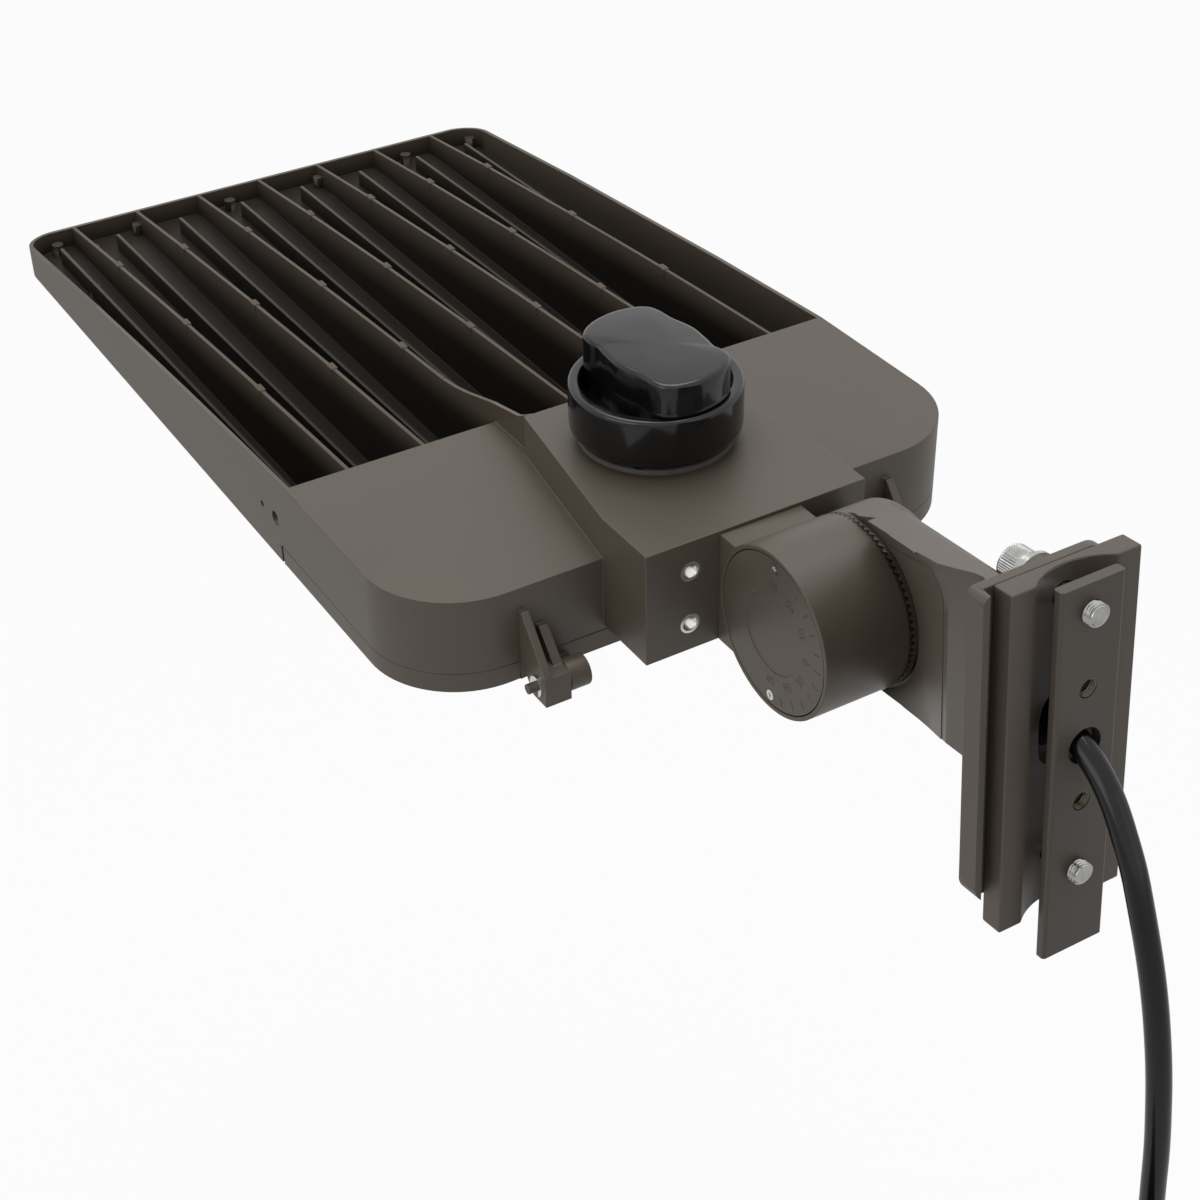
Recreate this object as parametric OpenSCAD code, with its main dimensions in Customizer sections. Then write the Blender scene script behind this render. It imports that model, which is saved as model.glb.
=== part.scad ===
/* [Housing] */
// Width of the housing across its side walls
housing_w = 320; // [300:1:340]
// Length of the housing from its rear wall to its nose
housing_l = 535; // [500:1:570]
// Length of the driver compartment
compartment_l = 134; // [128:1:140]
// Height of the side walls along the compartment
side_h = 51.2; // [48:0.2:56]
// Height of the rim at the nose
nose_h = 18.1; // [16:0.1:22]
// How far the rim bulges above a straight line
rim_crown = 2.7; // [0:0.1:5]
// Thickness of the casting's walls
wall = 2.6; // [2.2:0.1:3.2]
// Corner radius at the rear, seen from above
rear_corner_r = 48; // [30:1:60]
// Corner radius at the nose, seen from above
nose_corner_r = 20; // [12:1:30]
// Height of the tilt axis above the housing's bottom
pivot_h = 42.1; // [40:0.1:44]
// Distance between the main fins
fin_pitch = 42; // [38:0.5:44]
// Thickness of a fin
fin_t = 2.2; // [1.8:0.1:3]
// Height of the low middle fins at the nose
mid_fin_nose_h = 16.1; // [12:0.1:17]
// Height of the low middle fins at the compartment
mid_fin_rear_h = 26; // [20:0.5:32]
// Height of the bays' floor above the housing's bottom
floor_h = 6; // [5.6:0.1:7]

/* [Hump] */
// Height of the hump above the housing's bottom
hump_h = 73.3; // [70:0.1:80]
// Width of the hump at its rear face
hump_rear_w = 121; // [112:1:124]
// Width of the hump at its front edge
hump_front_w = 92; // [90:1:98]
// How far the hump stands behind the compartment
hump_step = 37.6; // [35:0.2:42]
// How far the hump's front wall lies behind the fins' start
hump_setback = 36; // [30:1:42]
// Height of the hump's underside behind the compartment
hump_under_h = 12.8; // [11:0.1:15]
// Outer diameter of the threaded inserts in the hump's rear face
insert_d = 10.5; // [10:0.1:12]
// Bore of the threaded inserts
insert_bore_d = 8; // [7:0.1:8.4]
// Sideways distance between the threaded inserts
insert_spread = 73.2; // [70:0.2:84]

/* [Door] */
// Height of the seam between door and housing
seam_h = 10.5; // [10:0.1:12]
// How far the door's tongue reaches under the bays
door_tongue_l = 14; // [10:0.5:20]
// Distance of the hinge pins behind the compartment
hinge_setback = 15; // [14:0.1:17]
// Height of the hinge pins above the housing's bottom
hinge_h = 5.5; // [5:0.1:6]
// Diameter of the hinge pins
hinge_pin_d = 5; // [4:0.1:6]

/* [Knuckle] */
// Diameter of the knuckle's barrel and of the arm's ring
barrel_d = 83.6; // [80:0.2:86]
// Length of the barrel on the head
barrel_l = 46.4; // [44:0.2:50]
// Sideways place of the dial's end of the barrel
dial_y = 21; // [19:0.2:22]
// Number of teeth round the knuckle
teeth_n = 72; // [60:1:90]
// Height of a tooth from root to tip
tooth_h = 2.4; // [1.8:0.1:2.8]
// Diameter of the pivot bolt, M12
pivot_d = 12; // [10:0.5:14]
// Tilt of the head at rest, nose up
rest_tilt = 5; // [0:5:10]

/* [Arm and pole clamp] */
// Distance from the pole's face to the tilt axis
pivot_x = 171.2; // [165:0.2:180]
// Drop of the tilt axis below the bolts' middle
pivot_drop = 33.2; // [30:0.2:36]
// Length of the arm's ring along the tilt axis
ring_l = 28.6; // [27:0.2:32]
// How far the arm's flange reaches to the left of the bolts
flange_left = 40; // [38:0.5:44]
// How far the arm's flange reaches to the right of the bolts
flange_right = 25; // [24:0.5:30]
// How far the arm's flange reaches above the bolts' middle
flange_top = 73.6; // [72:0.2:76]
// How far the arm's flange reaches below the bolts' middle
flange_bottom = 70; // [70:0.5:74]
// Distance between the two clamp bolts
bolt_spacing = 120; // [116:0.5:124]
// Diameter of the clamp bolts, M10
bolt_d = 10; // [8:0.5:10]
// Width of the pole adapter
adapter_w = 62.4; // [58:0.2:66]
// Thickness of the pole adapter
adapter_t = 10.6; // [10:0.1:12]
// Width of the adapter's hollow for a round pole
adapter_arc_w = 40; // [34:0.5:44]
// Depth of the adapter's hollow
adapter_arc_depth = 7.3; // [5:0.1:8]
// Width of the back plate
plate_w = 30.8; // [28:0.2:34]
// Thickness of the back plate
plate_t = 5.1; // [4:0.1:6]
// Thickness of the pole's wall between adapter and back plate
pole_wall = 3.8; // [2:0.1:5]

/* [Shorting cap] */
// Diameter of the cap's skirt
cap_d = 84.4; // [82:0.2:86]
// Height of the cap's skirt
skirt_h = 24.3; // [20:0.1:28]
// Height of the cap's grip above the skirt
grip_h = 17.7; // [16:0.1:24]
// Distance from the tilt axis to the cap's axis
cap_x = 129.1; // [126:0.1:132]

/* [Light engine] */
// Number of light boards along the housing
boards_x = 2; // [1:1:3]
// Number of light boards across the housing
boards_y = 2; // [1:1:3]
// Number of lenses along a board
lenses_x = 5; // [2:1:6]
// Number of lenses across a board
lenses_y = 4; // [2:1:5]

/* [Cord] */
// Diameter of the supply cord
cord_d = 10.5; // [9.8:0.1:10.6]

/* [Hidden] */
$fn = 96;
hull_fn = 32;
overrun = 1;
seat_gap = 0.1;
run_gap = 0.05;
sweep_gap = 0.5;
bolt_gap = 0.5;

// Bodies along the head, measured from the tilt axis
barrel_r = barrel_d / 2;
hump_gap = 0.4;
hump_back_x = barrel_r + hump_gap;
rear_x = hump_back_x + hump_step;
boundary_x = rear_x + compartment_l;
nose_x = rear_x + housing_l;
nose_in_x = nose_x - wall;
hump_front_x = boundary_x - hump_setback;
bay_l = nose_in_x - boundary_x;
half_w = housing_w / 2;
side_in_y = half_w - wall;
nose_round = 9;
arc_steps = 8;
rim_steps = 12;

// Floor, ledge and recess of the housing
floor_t = 2.5;
ledge_w = 8;
tongue_x = boundary_x + door_tongue_l;
cavity_front_x = boundary_x - wall;
recess_margin = 14;
recess_front = 12;

// Bays between the fins
main_fins = [-3, -2, -1, 0, 1, 2, 3];
bay_edges = concat([-side_in_y], [for (i = main_fins) i * fin_pitch], [side_in_y]);
mid_fin_gap = 19.5;

// Small cast details on the fins and the floor
pad_l = 7;
pad_w = 4;
pad_rise = 0.5;
pad_shares = [0.26, 0.52, 0.79];
boss_r = 3.4;
boss_h = 7;
boss_shares = [[0.988, 0.875], [0.988, 0.544], [0.988, 0.15], [0.988, -0.244], [0.988, -0.644],
    [0.988, -0.95], [0.95, 0.762], [0.823, 0.875], [0.888, -0.038], [0.953, -0.831]];
nub_l = 9;
nub_t = 2.4;
nub_h = 7;

// S-shaped wings from the hump down to the two inner fins
wing_shares = [[0, 1], [0.1, 0.79], [0.13, 0.745], [0.27, 0.63], [0.4, 0.53], [0.55, 0.37],
    [0.7, 0.21], [0.85, 0.08], [1, 0]];
wing_l = 95;

// Accessory holes in the left wall
guard_hole_d = 8;
guard_pin_d = 3.6;
guard_setback = 17;
guard_hole_x = boundary_x + guard_setback;
guard_hole_h = 24.8;
guard_pitch = 16;

// Threaded inserts and their bosses
insert_l = 14;
insert_boss_wall = 3.2;
insert_low_h = 27.8;
insert_high_h = 56.9;

// Door, its land and its gasket
door_t = 2.5;
door_gap = 0.3;
gasket_w = 4;
gasket_h = 3;
door_boss_r = 6;
door_boss_h = 18;
door_screw_d = 5;
door_screw_head_d = 11;
door_screw_head_h = 5;
door_screw_l = 22;
door_screw_play = 1.2;
door_screw_y = 118;
door_screw_inset = 18;

// Hinges
ear_y = 105.8;
ear_t = 4.2;
ear_h = 39;
lug_w = 9.6;
lug_back = 8;
lug_front = 8;
lug_drop = 8;
rib_y = 94.5;
rib_t = 5;
rib_h = 28;
barrel_w = 11;
hinge_barrel_r = 7.8;
hinge_side_gap = 0.4;
pin_out = 5.2;
clip_t = 0.8;
clip_r = 5.2;
clip_gap = 0.2;

// Knuckle
knuckle_web_t = 8;
knuckle_wall = 3.2;
dial_seat = 5.4;
dial_d = barrel_d - dial_seat;
dial_t = 3.5;
dial_sink = 0.3;
dial_rim = 2.2;
dial_step_d = 41.6;
dial_step = 0.4;
tick_l = 4.5;
tick_w = 0.7;
tick_deep = 0.35;
tick_step = 15;
tick_span = 90;
pad_top = 29.5;
pad_y0 = -23.5;
tooth_out_gap = 0.15;
tooth_ring_w = 8;
tooth_clear = 0.35;
tooth_root = 0.6;
teeth_y = dial_y - barrel_l;
wire_window_r = 4.5;
wire_window_n = 4;
wire_window_reach = 23;
wire_hole_r = 9;
knuckle_screw_d = 6;
knuckle_screw_head_d = 10;
knuckle_screw_head_h = 6;
knuckle_screw_spread = 28;
knuckle_screw_rise = 19;
knuckle_screw_grip = 6;

// Pivot bolt with its carrier
carrier_hub_r = 16;
carrier_t = 5;
sleeve_r = 10;
key_w = 15;
key_l = 6;
key_gap = 0.2;
post_r = 3.2;
post_inset = 4.2;
post_place_r = dial_d / 2 - post_inset;
bar_w = 10;
pivot_head_r = 9;
pivot_head_h = 8;
pivot_washer_r = 10.5;
pivot_washer_t = 1.5;
pivot_tip = 22;
dial_screw_r = 1.5;
dial_screw_head_r = 2.6;
dial_screw_head_h = 1.4;
dial_screw_l = 12;
release = 2.5;

// Arm
ring_end_r = 6;
ring_right_y = teeth_y - ring_l;
tooth_plate_t = 11;
ring_wall = 6;
ring_cavity_r = 30;
pivot_boss_r = 16;
flange_x0 = 5;
flange_t = 10.2;
flange_x1 = flange_x0 + flange_t;
flange_corner_r = 10;
flange_ear_r = 4;
tray_left = 36.5;
barrel_air = 1.2;
pad_air = 10.8;
bolt_boss_r = 10;
bolt_boss_l = 7.3;
bolt_pocket_r = 10.8;
head_pocket_r = 9.4;
head_pocket_l = 18;
gland_face_x = 24;
gland_nut_r = 9.5;
gland_dome_l = 12;
gland_wall_t = 5;
gland_lock_l = 5;
gland_body_r = 8;
gland_rise = 4;
gland_well_r = 14;
neck_cavity_w = 36;
neck_cavity_h = 44;
neck_shares = [[1, -0.04], [1, 0.95], [0.525, 0.95], [0.375, 0.885], [-0.625, 0.38],
    [-0.625, -0.9], [-0.5, -0.9]];
side_shares = [[0, 1], [0.02, 0.78], [0.045, 0.64], [0.085, 0.56], [0.14, 0.5], [0.24, 0.45],
    [0.357, 0.38], [0.53, 0.16]];
groove_d = 5;
groove_shift = 2.6;

// Clamp hardware
flat_washer_r = 10;
flat_washer_t = 2;
lock_washer_r = 9;
lock_washer_t = 2.5;
bolt_head_r = 8;
bolt_head_h = 10;
bolt_socket_r = 4.6;
bolt_socket_h = 5;
bolt_l = 40;
washer_gap = 0.3;
adapter_top = flange_top;
adapter_bottom = 83.8;
slot_w = 20;
slot_h = 34;
plate_top = 73;
plate_bottom = 99;
plate_edge_r = 1.6;
plate_hole_d = 16;
tapped_d = 8.6;
tapped_spacing = 52.4;

// Receptacle and cap
receptacle_r = 29.5;
receptacle_h = 39;
receptacle_flange_r = 36;
receptacle_flange_t = 4;
receptacle_gap = 0.5;
gasket_ring_r = 38.3;
gasket_ring_t = 2.7;
cap_base_r = 37;
cap_base_h = 4;
cap_cavity_r = 34.5;
cap_cavity_h = 8;
lip_w = 2.2;
lip_h = 1;
skirt_round = 2;
grip_r = 40;
grip_low_h = 0.8;
pocket_ring_w = 5.7;
pocket_depth = 11;
grip_inset = 1;
crown_h = 1.2;
crown_inset = 2.4;
grip_shares = [[0, 0.998], [10, 0.985], [20, 0.975], [30, 0.955], [38, 0.925], [43, 0.89],
    [50, 0.8], [55, 0.715], [60, 0.677], [70, 0.643], [80, 0.623], [90, 0.623], [100, 0.632],
    [110, 0.645], [120, 0.667], [130, 0.708], [138, 0.78], [145, 0.88], [152, 0.965], [160, 1],
    [170, 1]];
blade_place_r = 16.5;
blade_t = 1.6;
blade_arc = 42;
blade_l = 16;
blade_n = 3;
link_w = 7;
link_t = 2;
slot_gap = 0.8;
slot_lead = 3;
twist = 30;
receptacle_screw_r = 2;
receptacle_screw_place_r = 33.6;
receptacle_screw_head_r = 3.6;
receptacle_screw_head_h = 2.4;
receptacle_screw_l = 8;

// Light engine
board_t = 1.6;
board_gap = 6;
package_w = 3.5;
package_t = 0.7;
lens_t = 2.6;
lens_out = 2.6;
lens_r = 6.5;
lens_tip_r = 4.2;
lens_seat = 0.4;
lens_edge = 3;
seal_w = 5;
lens_screw_r = 1.6;
lens_screw_head_r = 3.4;
lens_screw_head_h = 2;
lens_screw_l = 6;
lens_screws_side = 4;

// Driver compartment's contents
driver_x = 62;
driver_y = 200;
driver_z = 28;
driver_lift = 2;
driver_foot_l = 10;
driver_foot_t = 2;
driver_screw_r = 2;
driver_screw_head_r = 3.8;
driver_screw_head_h = 2.4;
driver_front_gap = 6;
surge_size = [36, 60, 24];
surge_wall_gap = 4.4;
surge_place = [46, side_in_y - surge_wall_gap - surge_size[1]];
block_size = [24, 50, 18];
block_wall_gap = 13.4;
block_place = [16, block_wall_gap - side_in_y];

// Supply cord: hand-chosen route in the plane of the arm, then the coil
cord_r = cord_d / 2;
cord_sides = 10;
cord_route = [[24, 4], [19, 4], [14, 4], [8, 3.6], [2, 2.6], [-4, 0.6], [-9, -1.8], [-15, -5.6],
    [-20, -9.8], [-24, -14], [-29, -21], [-33, -28], [-37, -35.5], [-40, -42], [-44, -53],
    [-48, -65], [-52, -78], [-56, -94], [-59, -110], [-61.5, -128], [-63, -146], [-64, -166],
    [-64, -188], [-64, -212], [-64, -242]];
coil_turns = 2;
coil_r = 5 * cord_d;
coil_step = cord_d + 0.8;
coil_rings = 24;
coil_sides = 6;
coil_start = [-64, -242];
tie_t = 1.6;
tie_h = 9;
tie_gap = 0.9;
lead_r = 1.7;
lead_l = 46;
lead_bare_l = 10;
lead_bare_r = 1.1;
lead_place_r = 2.4;
lead_splay = 6;

bronze = "#5b534c";
bronze_dark = "#4a433d";
steel = "#c8c8c8";
black = "#161616";

// A box between two corners, given as low and high values along each axis
module block(x, y, z) {
    translate([x[0], y[0], z[0]]) cube([x[1] - x[0], y[1] - y[0], z[1] - z[0]]);
}

// A round bar along X, Y or Z between two places
module rod_x(r, x0, x1) {
    translate([x0, 0, 0]) rotate([0, 90, 0]) cylinder(r = r, h = x1 - x0);
}

module rod_y(r, y0, y1) {
    translate([0, y1, 0]) rotate([90, 0, 0]) cylinder(r = r, h = y1 - y0);
}

module rod_z(r, z0, z1) {
    translate([0, 0, z0]) cylinder(r = r, h = z1 - z0);
}

// The head's own frame: x from the tilt axis to the nose, z up from the housing's bottom
module in_head() {
    translate([pivot_x, 0, -pivot_drop]) rotate([0, -rest_tilt, 0])
        translate([0, 0, -pivot_h]) children();
}

module at_pivot() {
    translate([0, 0, pivot_h]) children();
}

// Two mirrored copies across the head's middle plane
module both_sides() {
    children();
    mirror([0, 1, 0]) children();
}

// Outline with one radius at its rear corners and another at its nose corners
module plan(x0, x1, w, r0, r1) {
    translate([x0 + r0, -w / 2]) square([x1 - x0 - r0 - r1, w]);
    translate([x0, -w / 2 + r0]) square([x1 - x0 - r1, w - 2 * r0]);
    translate([x0 + r0, -w / 2 + r1]) square([x1 - x0 - r0, w - 2 * r1]);
    for (s = [-1, 1]) {
        translate([x0 + r0, s * (w / 2 - r0)]) circle(r = r0);
        translate([x1 - r1, s * (w / 2 - r1)]) circle(r = r1);
    }
}

// An outline in x and z, extruded across the head
module across(w) {
    translate([0, w / 2, 0]) rotate([90, 0, 0]) linear_extrude(w) children();
}

function rim_share(x) = (x - boundary_x) / (nose_in_x - boundary_x);
function rim_z(x) = let (t = rim_share(x))
    side_h + (nose_h - side_h) * t + 4 * rim_crown * t * (1 - t);

// Side view of the housing, with its crowned rim and rounded lower nose edge
side_view = concat(
    [[rear_x, seam_h], [tongue_x, seam_h], [tongue_x, 0], [nose_x - nose_round, 0]],
    [for (i = [1 : arc_steps]) let (a = -90 + 90 * i / arc_steps)
        [nose_x - nose_round + nose_round * cos(a), nose_round + nose_round * sin(a)]],
    [[nose_x, nose_h]],
    [for (i = [0 : rim_steps]) let (x = nose_in_x - bay_l * i / rim_steps) [x, rim_z(x)]],
    [[rear_x, side_h]]);

// The casting's outside before anything is cut from it
module housing_outer() {
    intersection() {
        linear_extrude(side_h + overrun) plan(rear_x, nose_x, housing_w, rear_corner_r, nose_corner_r);
        across(housing_w + 2 * overrun) polygon(side_view);
    }
}

module hump_outline(inset = 0) {
    r = hump_rear_w / 2 - inset;
    f = hump_front_w / 2 - inset;
    polygon([[hump_back_x + inset, -r], [rear_x, -r], [hump_front_x - inset, -f],
        [hump_front_x - inset, f], [rear_x, r], [hump_back_x + inset, r]]);
}

module hump_outer() {
    translate([0, 0, side_h - wall]) linear_extrude(hump_h - side_h + wall) hump_outline();
    block([hump_back_x, rear_x + wall], [-hump_rear_w / 2, hump_rear_w / 2],
        [hump_under_h, side_h]);
    block([hump_front_x - wall, hump_front_x], [-hump_front_w / 2, hump_front_w / 2],
        [seam_h, side_h]);
}

// One wing: the curve that brings a fin's edge up to the hump's top
module wing() {
    low = rim_z(hump_front_x + wing_l);
    translate([0, fin_pitch + fin_t / 2, 0]) rotate([90, 0, 0]) linear_extrude(fin_t)
        polygon(concat(
            [for (s = wing_shares) [hump_front_x + wing_l * s[0], low + (hump_h - low) * s[1]]],
            [[hump_front_x + wing_l, floor_h - floor_t / 2], [boundary_x, floor_h - floor_t / 2],
                [boundary_x, seam_h + wall / 2], [hump_front_x - wall, seam_h + wall / 2],
                [hump_front_x - wall, hump_h]]));
}

// The open bays, cut down to the floor
module bays() {
    for (i = [0 : len(bay_edges) - 2]) {
        y0 = bay_edges[i] + (i == 0 ? 0 : fin_t / 2);
        y1 = bay_edges[i + 1] - (i == len(bay_edges) - 2 ? 0 : fin_t / 2);
        inner = abs(y0 + y1) / 2 < fin_pitch;
        block([boundary_x, nose_x], [y0, y1], [floor_h, hump_h + overrun]);
        if (inner) block([hump_front_x, nose_x], [y0, y1], [seam_h + wall, hump_h + overrun]);
    }
}

module bay_space() {
    intersection() {
        bays();
        linear_extrude(hump_h + 2 * overrun)
            plan(hump_front_x - overrun, nose_in_x, housing_w - 2 * wall, wall, nose_corner_r - wall);
    }
}

// The low fins that run along the middle of each bay
module mid_fins() {
    x1 = nose_in_x - mid_fin_gap;
    for (i = [0 : len(bay_edges) - 2]) {
        y = (bay_edges[i] + bay_edges[i + 1]) / 2;
        x0 = (abs(y) < fin_pitch ? hump_front_x : boundary_x) - wall / 2;
        x2 = boundary_x - wall / 2;
        translate([0, y + fin_t / 2, 0]) rotate([90, 0, 0]) linear_extrude(fin_t)
            polygon([[x0, seam_h + wall / 2], [x2, seam_h + wall / 2], [x2, floor_h - floor_t / 2],
                [x1, floor_h - floor_t / 2], [x1, mid_fin_nose_h], [x0, mid_fin_rear_h]]);
    }
}

// Cast pads on the fins' edges, ejector bosses and floor nubs
module fin_pads() {
    for (i = main_fins, s = pad_shares) {
        x = boundary_x + s * bay_l;
        block([x, x + pad_l], [i * fin_pitch - pad_w / 2, i * fin_pitch + pad_w / 2],
            [rim_z(x + pad_l) - pad_w, rim_z(x) + pad_rise]);
    }
}

module ejector_bosses() {
    for (s = boss_shares)
        translate([boundary_x + s[0] * bay_l - boss_r / 2, s[1] * half_w, 0])
            rod_z(boss_r, floor_h - floor_t / 2, floor_h + boss_h);
}

module floor_nubs() {
    for (i = [1 : len(bay_edges) - 3]) {
        y = bay_edges[i] + fin_pitch / 4;
        inner = abs(y) < fin_pitch;
        x = inner ? hump_front_x : boundary_x;
        z = inner ? seam_h + wall : floor_h;
        translate([0, y + nub_t / 2, 0]) rotate([90, 0, 0]) linear_extrude(nub_t)
            polygon([[x - wall / 2, z - wall / 2], [x + nub_l, z - wall / 2],
                [x + nub_l, z], [x - wall / 2, z + nub_h]]);
    }
}

// The driver compartment's inside, with the ledge that the door's gasket meets
module compartment_space() {
    translate([0, 0, seam_h + wall]) linear_extrude(side_h - seam_h - 2 * wall)
        intersection() {
            plan(rear_x + wall, cavity_front_x, housing_w - 2 * wall, rear_corner_r - wall, wall);
            union() {
                translate([rear_x, -half_w]) square([hump_front_x - wall - rear_x, housing_w]);
                for (s = [-1, 1])
                    translate([rear_x, s > 0 ? hump_front_w / 2 : -half_w])
                        square([compartment_l, half_w - hump_front_w / 2]);
            }
        }
    translate([0, 0, -overrun]) linear_extrude(seam_h + wall + 2 * overrun)
        intersection() {
            plan(rear_x + ledge_w, cavity_front_x - ledge_w, housing_w - 2 * ledge_w,
                rear_corner_r - ledge_w, wall);
            union() {
                translate([rear_x, -half_w])
                    square([hump_front_x - wall - rear_x, housing_w]);
                for (s = [-1, 1])
                    translate([rear_x, s > 0 ? hump_front_w / 2 : -half_w])
                        square([compartment_l, half_w - hump_front_w / 2]);
            }
        }
}

module hump_space() {
    difference() {
        translate([0, 0, hump_under_h + wall])
            linear_extrude(hump_h - hump_under_h - 2 * wall) hump_outline(wall);
        block([hump_front_x - ledge_w, hump_front_x], [-half_w, half_w],
            [0, seam_h + wall]);
    }
}

// The floor that carries on under the bays above the door's tongue
module tongue_floor() {
    difference() {
        block([cavity_front_x, tongue_x + wall], [-side_in_y + door_gap, side_in_y - door_gap],
            [floor_h - floor_t, seam_h + wall]);
        for (i = [0 : len(bay_edges) - 2]) {
            y0 = bay_edges[i] + (i == 0 ? wall + door_gap : fin_t / 2);
            y1 = bay_edges[i + 1] - (i == len(bay_edges) - 2 ? wall + door_gap : fin_t / 2);
            block([boundary_x, tongue_x + wall + overrun], [y0, y1],
                [floor_h, seam_h + wall + overrun]);
        }
    }
}

// The recess on the underside that holds the light boards
recess_x0 = tongue_x + recess_front;
recess_x1 = nose_x - recess_margin;
recess_w = housing_w - 2 * recess_margin;
recess_l = recess_x1 - recess_x0;

module light_recess() {
    block([recess_x0, recess_x1], [-recess_w / 2, recess_w / 2], [-overrun, floor_h - floor_t]);
}

// Triangular ear with its square lug, and the rib beside it
hinge_x = rear_x - hinge_setback;

module hinge_ear() {
    translate([0, ear_y, 0]) rotate([90, 0, 0]) linear_extrude(ear_t)
        polygon([[rear_x + wall / 2, ear_h], [rear_x - wall, ear_h],
            [hinge_x - lug_back, hinge_h + lug_drop], [hinge_x - lug_back, hinge_h - lug_drop],
            [hinge_x + lug_front / 2, hinge_h - lug_drop],
            [rear_x - sweep_gap, seam_h], [rear_x + wall / 2, seam_h]]);
    block([hinge_x - lug_back, hinge_x + lug_front / 2], [ear_y - ear_t - lug_w, ear_y - ear_t / 2],
        [hinge_h - lug_drop, hinge_h + lug_drop]);
    translate([0, rib_y + rib_t / 2, 0]) rotate([90, 0, 0]) linear_extrude(rib_t)
        polygon([[rear_x + wall / 2, rib_h], [rear_x - wall, rib_h],
            [hinge_x - lug_front / 2, hinge_h + lug_drop / 2], [hinge_x + lug_front / 2, hinge_h],
            [rear_x - sweep_gap, seam_h + sweep_gap], [rear_x + wall / 2, seam_h + sweep_gap]]);
}

function screw_rows() = [for (s = [-1, 1], t = [-1, 1]) [s, t]];

module insert_places() {
    for (s = [-1, 1], z = [insert_low_h, insert_high_h])
        translate([0, s * insert_spread / 2, z]) children();
}

module knuckle_screw_places() {
    for (s = screw_rows())
        translate([0, (pad_y0 + dial_y) / 2 + s[0] * knuckle_screw_spread / 2,
            pivot_h + s[1] * knuckle_screw_rise]) children();
}

module door_screw_places() {
    for (s = [-1, 1]) translate([cavity_front_x - door_screw_inset, s * door_screw_y, 0]) children();
}

module receptacle_screw_places() {
    for (a = [45, 135, 225, 315])
        translate([cap_x, 0, 0]) rotate([0, 0, a])
            translate([receptacle_screw_place_r, 0, 0]) children();
}

module lens_screw_places() {
    inset = seal_w / 2 + lens_edge;
    for (i = [0 : lens_screws_side - 1], s = [-1, 1])
        translate([recess_x0 + inset + (recess_l - 2 * inset) * i / (lens_screws_side - 1),
            s * (recess_w / 2 - inset), 0]) children();
}

// Finned die-cast body of the light
module housing() {
    color(bronze) in_head() difference() {
        union() {
            difference() {
                union() {
                    housing_outer();
                    hump_outer();
                    both_sides() wing();
                }
                bay_space();
                compartment_space();
                hump_space();
                light_recess();
            }
            mid_fins();
            fin_pads();
            ejector_bosses();
            floor_nubs();
            tongue_floor();
            both_sides() hinge_ear();
            insert_places() rod_x(insert_d / 2 + insert_boss_wall, hump_back_x + wall / 2,
                hump_back_x + insert_l + wall);
            door_screw_places() rod_z(door_boss_r, seam_h + wall / 2, side_h - wall / 2);
        }
        insert_places() rod_x(insert_d / 2, hump_back_x - overrun, hump_back_x + insert_l);
        knuckle_screw_places() rod_x(knuckle_screw_d / 2 + bolt_gap, hump_back_x - overrun,
            hump_back_x + wall + overrun);
        translate([0, (pad_y0 + dial_y) / 2, pivot_h])
            rod_x(wire_hole_r, hump_back_x - overrun, hump_back_x + wall + overrun);
        translate([cap_x, 0, 0]) rod_z(receptacle_r + receptacle_gap, hump_h - wall - overrun,
            hump_h + overrun);
        receptacle_screw_places() rod_z(receptacle_screw_r + run_gap, hump_h - wall - overrun,
            hump_h + overrun);
        door_screw_places() rod_z(door_screw_d / 2 + door_screw_play, seam_h - overrun,
            seam_h + door_boss_h);
        translate([guard_hole_x, 0, guard_hole_h])
            rod_y(guard_hole_d / 2, side_in_y - overrun, half_w + overrun);
        translate([guard_hole_x + guard_pitch, 0, guard_hole_h])
            rod_y(guard_pin_d / 2, side_in_y - overrun, half_w + overrun);
        both_sides() translate([hinge_x, 0, hinge_h])
            rod_y(hinge_pin_d / 2 + run_gap, rib_y - rib_t, ear_y + overrun);
        lens_screw_places() rod_z(lens_screw_r + run_gap, -overrun, floor_h - floor_t + lens_screw_r);
    }
}

// Bright threaded inserts in the hump's rear face
module thread_inserts() {
    color(steel) in_head() insert_places() difference() {
        rod_x(insert_d / 2, hump_back_x, hump_back_x + insert_l);
        rod_x(insert_bore_d / 2, hump_back_x - overrun, hump_back_x + insert_l + overrun);
    }
}

// Height of the teeth's surface at each half pitch: 0 at the root, 1 at the tip
function zig(i, shift) = (i + shift) % 2;

// A ring of radial teeth; its toothed face looks along -Y and its base lies at root
module tooth_ring(base, root, tip, r0, r1, shift) {
    n = 2 * teeth_n;
    pts = [for (i = [0 : n - 1]) let (a = 360 * i / n, y = root + (tip - root) * zig(i, shift))
        each [[r0 * cos(a), base, r0 * sin(a)], [r1 * cos(a), base, r1 * sin(a)],
            [r1 * cos(a), y, r1 * sin(a)], [r0 * cos(a), y, r0 * sin(a)]]];
    flip = tip > base;
    faces = [for (i = [0 : n - 1], k = [0 : 3])
        let (a = 4 * i + k, b = 4 * i + (k + 1) % 4, c = 4 * ((i + 1) % n) + (k + 1) % 4,
            d = 4 * ((i + 1) % n) + k)
        each flip ? [[a, c, b], [a, d, c]] : [[a, b, c], [a, c, d]]];
    polyhedron(pts, faces);
}

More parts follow.
